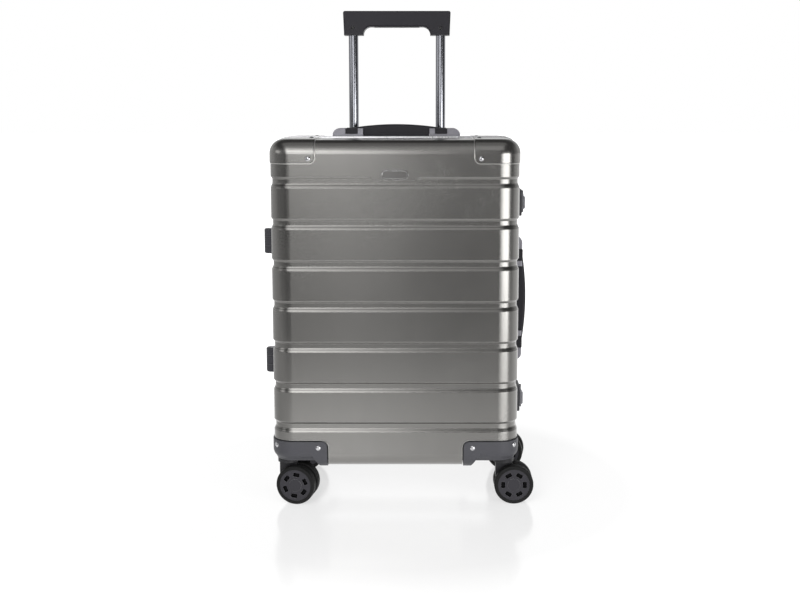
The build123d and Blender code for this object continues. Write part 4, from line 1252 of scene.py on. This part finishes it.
    def _slack(self, place: Point, row: int, rows: int, step: int) -> float:
        """How far the cloth hangs off the wall at one point, beyond its own thickness.

        Args:
            place: The point on the outer face.
            row: Number of its row.
            rows: Number of rows.
            step: Number of the point in its ring.

        Returns:
            A distance of zero or more.
        """
        side = self.half.value
        broad = self._waver(place, self.broad_scale, (0.0, 0.0, side * self.broad_shift))
        fine = self._waver(place, self.fine_scale, (0.0, 0.0, side * self.fine_shift))
        crease = abs(self._waver(place, self.crease_scale, (self.crease_shift, 0.0, 0.0)))
        sharp = (1.0 - min(1.0, self.crease_sharpness * crease)) ** 2
        soft = self.sag * (0.5 + 0.5 * broad + self.fine_share * fine + self.crease_share * sharp)
        span = self.corner_steps + self.straight_steps - 1
        near = min(step % span, span - step % span) / self.corner_steps
        wave = 0.5 + 0.5 * math.sin(self.pleat_turn * (step % span))
        pleats = self.pleat * wave * max(0.0, 1.0 - max(0.0, near - 1.0))
        ease = min(1.0, max(0, row - self.tight_rows) / self.ease_rows)
        ease *= min(1.0, (rows - row) / self.floor_ease_rows)
        return max(0.0, soft + pleats) * ease

    @staticmethod
    def _waver(place: Point, scale: Point, shift: Point) -> float:
        """Smooth noise at a scaled and shifted point."""
        return noise.noise(Vector([spot * size + move for spot, size, move in zip(place, scale, shift)]))

    def _tray(self, name: str) -> Mesh:
        """The closed tray, its outer face plain and its inner face slack.

        Args:
            name: Name of the mesh.

        Returns:
            The mesh.
        """
        rows = self._profile()
        rings = [self._ring(inset) for _, inset, _ in rows]
        count = len(rings[0])
        outside: list[Point] = []
        painted_shade: list[Point] = []
        for number, (row, ring) in enumerate(zip(rows, rings)):
            for step, point in enumerate(ring):
                plain = self._spot(point, row, 0.0)
                slack = self._slack(plain, number, len(rows), step)
                outside.append(plain)
                painted_shade.append(self._spot(point, row, self.thickness + slack))
        inner = len(outside)
        walls = bands(len(rows), count)
        faces = walls + [tuple(inner + corner for corner in reversed(wall)) for wall in walls]
        for step in range(count):
            after = (step + 1) % count
            faces.append((step, inner + step, inner + after, after))
        floor = range(inner - count, inner)
        faces += [tuple(floor), tuple(inner + corner for corner in reversed(floor))]
        mesh = loose_mesh(name, outside + painted_shade, faces=faces)
        face_out(mesh, merge=self.merge)
        return mesh

    def _border(self, name: str) -> Mesh:
        """Stiff border covered in the lining's fabric, from the edge of the tray to the walls of the shell.

        Args:
            name: Name of the mesh.

        Returns:
            The mesh.
        """
        low, high = box_corners(f"{self.half.word}_shell")
        centre = (low + high) / 2
        reach = (high - low) / 2
        shell = self._outline(reach.x - self.border_inset, reach.z - self.border_inset, self.border_corner)
        outer = [(centre.x + x, centre.z + z) for (x, z), _ in shell]
        inner = [(self.middle[0] + x, self.middle[1] + z) for (x, z), _ in self._ring(self.border_lap)]
        near = self.mouth + self.half.value * self.border_back
        far = near + self.half.value * self.border_thickness
        loops = ((inner, near), (outer, near), (outer, far), (inner, far))
        points: list[Point] = [(x, depth, z) for loop, depth in loops for x, z in loop]
        mesh = loose_mesh(name, points, faces=bands(len(loops), len(outer), closed=True))
        face_out(mesh, smooth=False)
        return mesh

    def _stitch(self) -> Mesh:
        """One stitch: a short thread that dips into the cloth at both ends.

        Returns:
            The mesh, lying along X.
        """
        last = self.stitch_rings - 1
        points: list[Point] = []
        for ring in range(self.stitch_rings):
            share = ring / last
            x = self.stitch_length * (share - 0.5)
            lift = self.stitch_radius * (1.0 - (2.0 * share - 1.0) ** 2)
            radius = self.stitch_radius * (self.stitch_end if ring in (0, last) else 1.0)
            points += [(x, y, lift + z) for y, z, _ in circle(radius, 0.0, self.stitch_sides)]
        faces = bands(self.stitch_rings, self.stitch_sides)
        faces.append(tuple(reversed(range(self.stitch_sides))))
        faces.append(tuple(range(last * self.stitch_sides, len(points))))
        return loose_mesh("stitch", points, faces=faces)

    def _stitch_seats(self) -> list[Seat]:
        """Seats of the stitches, evenly round the mouth.

        Returns:
            One seat for each stitch.
        """
        row = (self.mouth + self.half.value * self.stitch_down, 0.0, 0.0)
        ring = self._ring(0.0)
        spots = [Vector(self._spot(point, row, self.thickness)) for point in ring]
        seats = []
        travel = 0.0
        due = 0.0
        for step, start in enumerate(spots):
            end = spots[(step + 1) % len(spots)]
            length = (end - start).length
            way_x, way_z = ring[step][1]
            while due < travel + length and length > 0:
                spot = start.lerp(end, (due - travel) / length)
                seats.append(Seat(tuple(spot), (way_x, 0.0, way_z), tuple((end - start).normalized())))
                due += self.stitch_pitch
            travel += length
        return seats


@dataclass
class Trolley:
    """Telescopic tubes, tray, clamps and grip with its screws and button."""

    screw_radius: float = 0.0026
    screw_height: float = 0.0009
    crown_drop: float = 0.35
    shank: float = 0.5
    slot_half: float = 0.00042
    slot_reach: float = 0.0017
    slot_depth: float = 0.0006
    slot_way: Point = (0.8, 0.0, 0.6)
    largest_turn: float = 1.0
    sides: int = 64
    rings: int = 14
    nodes: tuple[str, ...] = (
        "trolley_outer_tubes", "trolley_middle_tubes", "trolley_inner_tubes", "trolley_tray",
        "trolley_foot_clamps", "trolley_grip", "release_button")

    def build(self, shop: Workshop) -> None:
        """Dresses the trolley and sets the screws of the grip.

        Args:
            shop: Materials and trees.
        """
        for node in self.nodes:
            shop.dress_node(node)
        low, high = box_corners("grip_screws")
        height = (low.z + high.z) / 2
        seats = [Seat((x, low.y + self.screw_height, height), (0, -1, 0), self.slot_way)
                 for x in (low.x + self.screw_radius, high.x - self.screw_radius)]
        mesh = shop.repeat(self._screw(), seats, "grip_screw_heads", shop.materials["button_plastic"],
                           self.largest_turn)
        shop.place(mesh, "trolley_upper", "button_plastic", ("grip_screws",))

    def _screw(self) -> Mesh:
        """One pan head with a cross recess.

        Returns:
            The mesh, its head up.
        """
        foot = -self.screw_height * self.shank
        points: list[Point] = [(0.0, 0.0, self.screw_height - self.slot_depth)]
        for ring in range(1, self.rings + 1):
            radius = self.screw_radius * ring / self.rings
            crown = self.screw_height * (1.0 - self.crown_drop * (ring / self.rings) ** 3)
            for x, y, z in circle(radius, crown, self.sides):
                cut = min(abs(x), abs(y)) < self.slot_half and radius < self.slot_reach
                points.append((x, y, z - (self.slot_depth if cut else 0.0)))
        points += circle(self.screw_radius, foot, self.sides)
        points.append((0.0, 0.0, foot))
        last = len(points) - 1
        faces = fan(0, 1, self.sides) + bands(self.rings + 1, self.sides, first=1)
        faces += fan(last, last - self.sides, self.sides)
        return loose_mesh("grip screw", points, faces=faces)


@dataclass
class Fittings:
    """Hinges, latches, dials, carry handles and badge."""

    nodes: tuple[str, ...] = (
        "front_hinge_leaves", "rear_hinge_leaves", "hinge_pins", "latch_bases", "latch_keepers",
        "upper_latch_lever", "lower_latch_lever", "combination_dial_1", "combination_dial_2",
        "combination_dial_3", "top_handle_brackets", "side_handle_brackets", "top_handle_grip",
        "side_handle_grip", "badge_plate")

    def build(self, shop: Workshop) -> None:
        """Dresses every fitting."""
        for node in self.nodes:
            shop.dress_node(node)


@dataclass
class Caster:
    """One twin-wheel caster, with dark plates under the windows of its hubs as painted shade in the hub
    pockets.
    """

    corner: Corner
    swivel: float
    roll: float
    wheels: int = 2
    windows: int = 6
    window_radius: float = 0.016
    window_width: float = 0.0058
    window_height: float = 0.0093
    window_corner: float = 0.0014
    corner_steps: int = 4
    hub_half: float = 0.006
    sunk: float = 0.0012
    plate_thickness: float = 0.0006
    plate_crown: float = 0.00005

    def build(self, shop: Workshop) -> None:
        """Dresses the fork, the axle and the wheels, and sets plates of painted shade in the windows.

        Args:
            shop: Materials and trees.
        """
        word = self.corner.value
        shop.dress_node(f"{word}_caster_fork")
        shop.dress_node(f"{word}_caster_axle")
        for number in range(1, self.wheels + 1):
            shop.dress_node(f"{word}_tyre_{number}")
            shop.dress_node(f"{word}_hub_{number}")
            # Dark plates under the hub windows are painted shade in the hub pockets.
            mesh = shop.repeat(self._plate(), self._seats(number), f"{word}_hub_{number}_inside",
                               shop.extras["dark hub inside"])
            shop.place(mesh, f"{word}_wheel_{number}", "hub_plastic")

    def _plate(self) -> Mesh:
        """One rounded plate of painted shade, a little crowned, as large as a window.

        Returns:
            The mesh, its crown up.
        """
        rim: list[Point] = []
        for quarter in range(len(CORNER_SIGNS)):
            bend = rounded_corner(quarter, self.window_width / 2, self.window_height / 2, self.window_corner,
                                  self.corner_steps)
            rim += [(x, y, 0.0) for (x, y), _ in bend]
        back = [(x, y, -self.plate_thickness) for x, y, _ in rim]
        points = rim + back + [(0.0, 0.0, self.plate_crown), (0.0, 0.0, -self.plate_thickness)]
        count = len(rim)
        faces = fan(2 * count, 0, count) + fan(2 * count + 1, count, count) + bands(2, count)
        return loose_mesh("window plate", points, faces=faces)

    def _seats(self, number: int) -> list[Seat]:
        """Seats of the windows of one hub, just under its outer face.

        Args:
            number: 1 or 2, for the wheel on either side of the fork.

        Returns:
            One seat for each window.
        """
        low, high = box_corners(f"{self.corner.value}_hub_{number}")
        centre = (low + high) / 2
        flip = 0.0 if number == 1 else 180.0
        turned_to = (Matrix.Rotation(math.radians(self.swivel + flip), 3, "Z")
                     @ Matrix.Rotation(math.radians(self.roll), 3, "Y"))
        outwards = turned_to @ Vector((0.0, -1.0, 0.0))
        seats = []
        for step in range(self.windows):
            turn = 2 * math.pi * step / self.windows
            out = Vector((math.cos(turn), 0.0, math.sin(turn)))
            spot = out * self.window_radius + Vector((0.0, self.sunk - self.hub_half, 0.0))
            seats.append(Seat(tuple(centre + turned_to @ spot), tuple(outwards), tuple(turned_to @ out)))
        return seats


@dataclass(frozen=True)
class Panel:
    """Soft rectangular lamp."""

    name: str
    place: Point
    target: Point
    width: float
    height: float
    radiance: float
    mirrored: bool = True

    def hang(self) -> None:
        """Hangs the lamp, as strong as its size and radiance ask."""
        data = bpy.data.lights.new(self.name, "AREA")
        data.shape = "RECTANGLE"
        data.size = self.width
        data.size_y = self.height
        data.energy = self.radiance * math.pi * self.width * self.height
        lamp = into_scene(self.name, data)
        lamp.location = self.place
        lamp.rotation_mode = "QUATERNION"
        lamp.rotation_quaternion = (Vector(self.target) - Vector(self.place)).to_track_quat("-Z", "Y")
        lamp.visible_glossy = self.mirrored


CASTERS_AT_REST = (
    Caster(Corner.FRONT_LEFT, swivel=-10.0, roll=37.0),
    Caster(Corner.FRONT_RIGHT, swivel=0.0, roll=0.0),
    Caster(Corner.REAR_LEFT, swivel=-12.0, roll=20.0),
    Caster(Corner.REAR_RIGHT, swivel=-9.0, roll=10.0),
)

PANELS = (
    Panel("key above left", (-0.4, -2.0, 1.0), (-0.2, 0.0, 1.0), 0.75, 1.0, 4.6),
    Panel("soft fill", (-0.8, -2.0, 1.45), (0.0, 0.0, 0.4), 1.2, 1.7, 4.0, mirrored=False),
    Panel("tall right", (1.05, -1.64, 0.3), (0.0, -1.34, 0.3), 1.7, 0.62, 8.5),
    Panel("front left strip", (-0.2, -2.1, 0.22), (0.0, 0.0, 0.22), 0.3, 0.5, 2.0),
    Panel("pole strip", (-1.27, -0.5, 0.78), (0.0, 0.09, 0.78), 0.6, 0.32, 2.2),
    Panel("overhead fill", (-0.1, -1.35, 1.85), (-0.1, -0.11, 0.53), 2.0, 1.2, 0.9),
    Panel("upper key", (-0.6, -1.75, 1.45), (-0.1, -0.11, 0.5), 0.75, 1.0, 2.4),
    Panel("overhead back", (-0.1, -0.35, 2.1), (-0.1, -0.3, 0.5), 2.0, 0.9, 0.45),
    Panel("left wall", (-1.7, -1.0, 0.8), (0.0, -1.0, 0.8), 3.0, 1.6, 0.3),
)


@dataclass
class Studio:
    """Floor, light and camera."""

    camera_place: Point = (0.03645, -1.7871, 0.5900)
    pitch: float = 0.1346
    yaw: float = 0.0012
    lens: float = 53.13
    sensor: float = 36.0
    shift: Flat = (-0.0236, -0.0475)
    floor_size: float = 40.0
    floor_roughness: float = 0.15
    floor_specular: float = 0.5
    floor_glow: float = 0.63
    seen_floor: float = 0.3
    pool_radius: float = 0.35
    sweep_radius: float = 0.7
    dark_front: float = -1.4
    lit_front: float = -0.5
    pale_floor: float = 0.8
    dark_floor: float = 0.05
    left_fade: Flat = (-0.6, -0.15)
    left_glow: float = 0.3
    ahead_fade: Flat = (-0.2, -0.05)
    right_fade: Flat = (-0.08, 0.2)
    right_loss: float = 0.4
    room_glow: float = 0.1
    backdrop_fade: Flat = (-0.1, 0.5)
    backdrop_height: float = 0.3
    backdrop_end: float = 0.66

    def build(self) -> None:
        """Lays the floor and sets up the world, lamps and camera."""
        self._floor()
        self._world()
        for panel in PANELS:
            panel.hang()
        self._camera()
        bpy.context.scene.view_settings.view_transform = "Standard"

    def _floor(self) -> None:
        """Pale floor that turns white for the camera and keeps the shadow, its glow lower near the case as a
        painted soft shadow pool.
        """
        reach = self.floor_size / 2
        mesh = bpy.data.meshes.new("floor")
        mesh.from_pydata([(sx * reach, sy * reach, 0.0) for sx, sy in CORNER_SIGNS], [], [(0, 1, 2, 3)])
        floor = into_scene("floor", mesh)
        made = bpy.data.materials.new("pale floor")
        lay = Canvas.cleared(made)
        place = lay.place()
        parts = lay.parts(place)
        far = lay.node("ShaderNodeVectorMath", operation="LENGTH", Vector=place)
        # The camera sees less glow near the case, which lets the cast shadow show and paints a soft shadow
        # pool round the case.
        glow_with_painted_pool = lay.ramp(far.outputs["Value"], self.pool_radius, self.sweep_radius, self.floor_glow, 1.0)
        front = lay.ramp(parts["Y"], self.dark_front, self.lit_front)
        grey = lay.ramp(parts["Y"], self.dark_front, self.lit_front, self.dark_floor, self.pale_floor)
        left = lay.ramp(parts["X"], *self.left_fade, self.left_glow, 1.0)
        ahead = lay.ramp(parts["Y"], *self.ahead_fade, 1.0, 0.0)
        loss = lay.maths("MULTIPLY", ahead, lay.ramp(parts["X"], *self.right_fade, 0.0, self.right_loss))
        side = lay.maths("MULTIPLY", left, lay.maths("SUBTRACT", 1.0, loss))
        path = lay.node("ShaderNodeLightPath").outputs
        mirrored = lay.maths("MULTIPLY", path["Is Glossy Ray"], lay.maths("MULTIPLY", front, side))
        seen = lay.maths("MULTIPLY", path["Is Camera Ray"], glow_with_painted_pool)
        paler = lay.maths("MULTIPLY", path["Is Camera Ray"], lay.maths("SUBTRACT", self.seen_floor, grey))
        lay.surface(lay.node("ShaderNodeBsdfPrincipled", Base_Color=lay.maths("ADD", grey, paler),
                             Roughness=self.floor_roughness, Specular_IOR_Level=self.floor_specular,
                             Emission_Color=WHITE, Emission_Strength=lay.maths("MAXIMUM", seen, mirrored)))
        mesh.materials.append(made)

    def _world(self) -> None:
        """Dim room with a white backdrop behind the case, all white to the camera."""
        world = bpy.data.worlds.new("studio")
        bpy.context.scene.world = world
        lay = Canvas.cleared(world)
        parts = lay.parts(lay.node("ShaderNodeTexCoord").outputs["Generated"])
        behind = lay.ramp(parts["Y"], *self.backdrop_fade)
        low = lay.ramp(parts["Z"], self.backdrop_height, self.backdrop_end, 1.0, 0.0)
        paper = lay.maths("MULTIPLY", behind, low)
        room = lay.maths("ADD", lay.maths("MULTIPLY", paper, 1.0 - self.room_glow), self.room_glow)
        path = lay.node("ShaderNodeLightPath").outputs
        seen = lay.maths("MAXIMUM", path["Is Camera Ray"], path["Is Transmission Ray"])
        back = lay.node("ShaderNodeBackground", Color=WHITE, Strength=lay.maths("MAXIMUM", seen, room))
        lay.surface(back, "World")

    def _camera(self) -> None:
        """Camera at the photograph's viewing angle."""
        data = bpy.data.cameras.new("camera")
        data.lens = self.lens
        data.sensor_width = self.sensor
        data.shift_x, data.shift_y = self.shift
        camera = into_scene("camera", data)
        camera.location = self.camera_place
        camera.rotation_euler = (math.pi / 2 - self.pitch, 0.0, self.yaw)
        bpy.context.scene.camera = camera


def main() -> None:
    """Builds the studio and dresses the case."""
    logging.basicConfig(level=logging.INFO, format="%(message)s")
    case = CaseShape.from_frame()
    shop = Workshop(case)
    Studio().build()
    Shells(case).build(shop)
    Rivets(case).build(shop)
    for half in Half:
        Lining(half).build(shop)
    Trolley().build(shop)
    Fittings().build(shop)
    for caster in CASTERS_AT_REST:
        caster.build(shop)


if __name__ == "__main__":
    main()
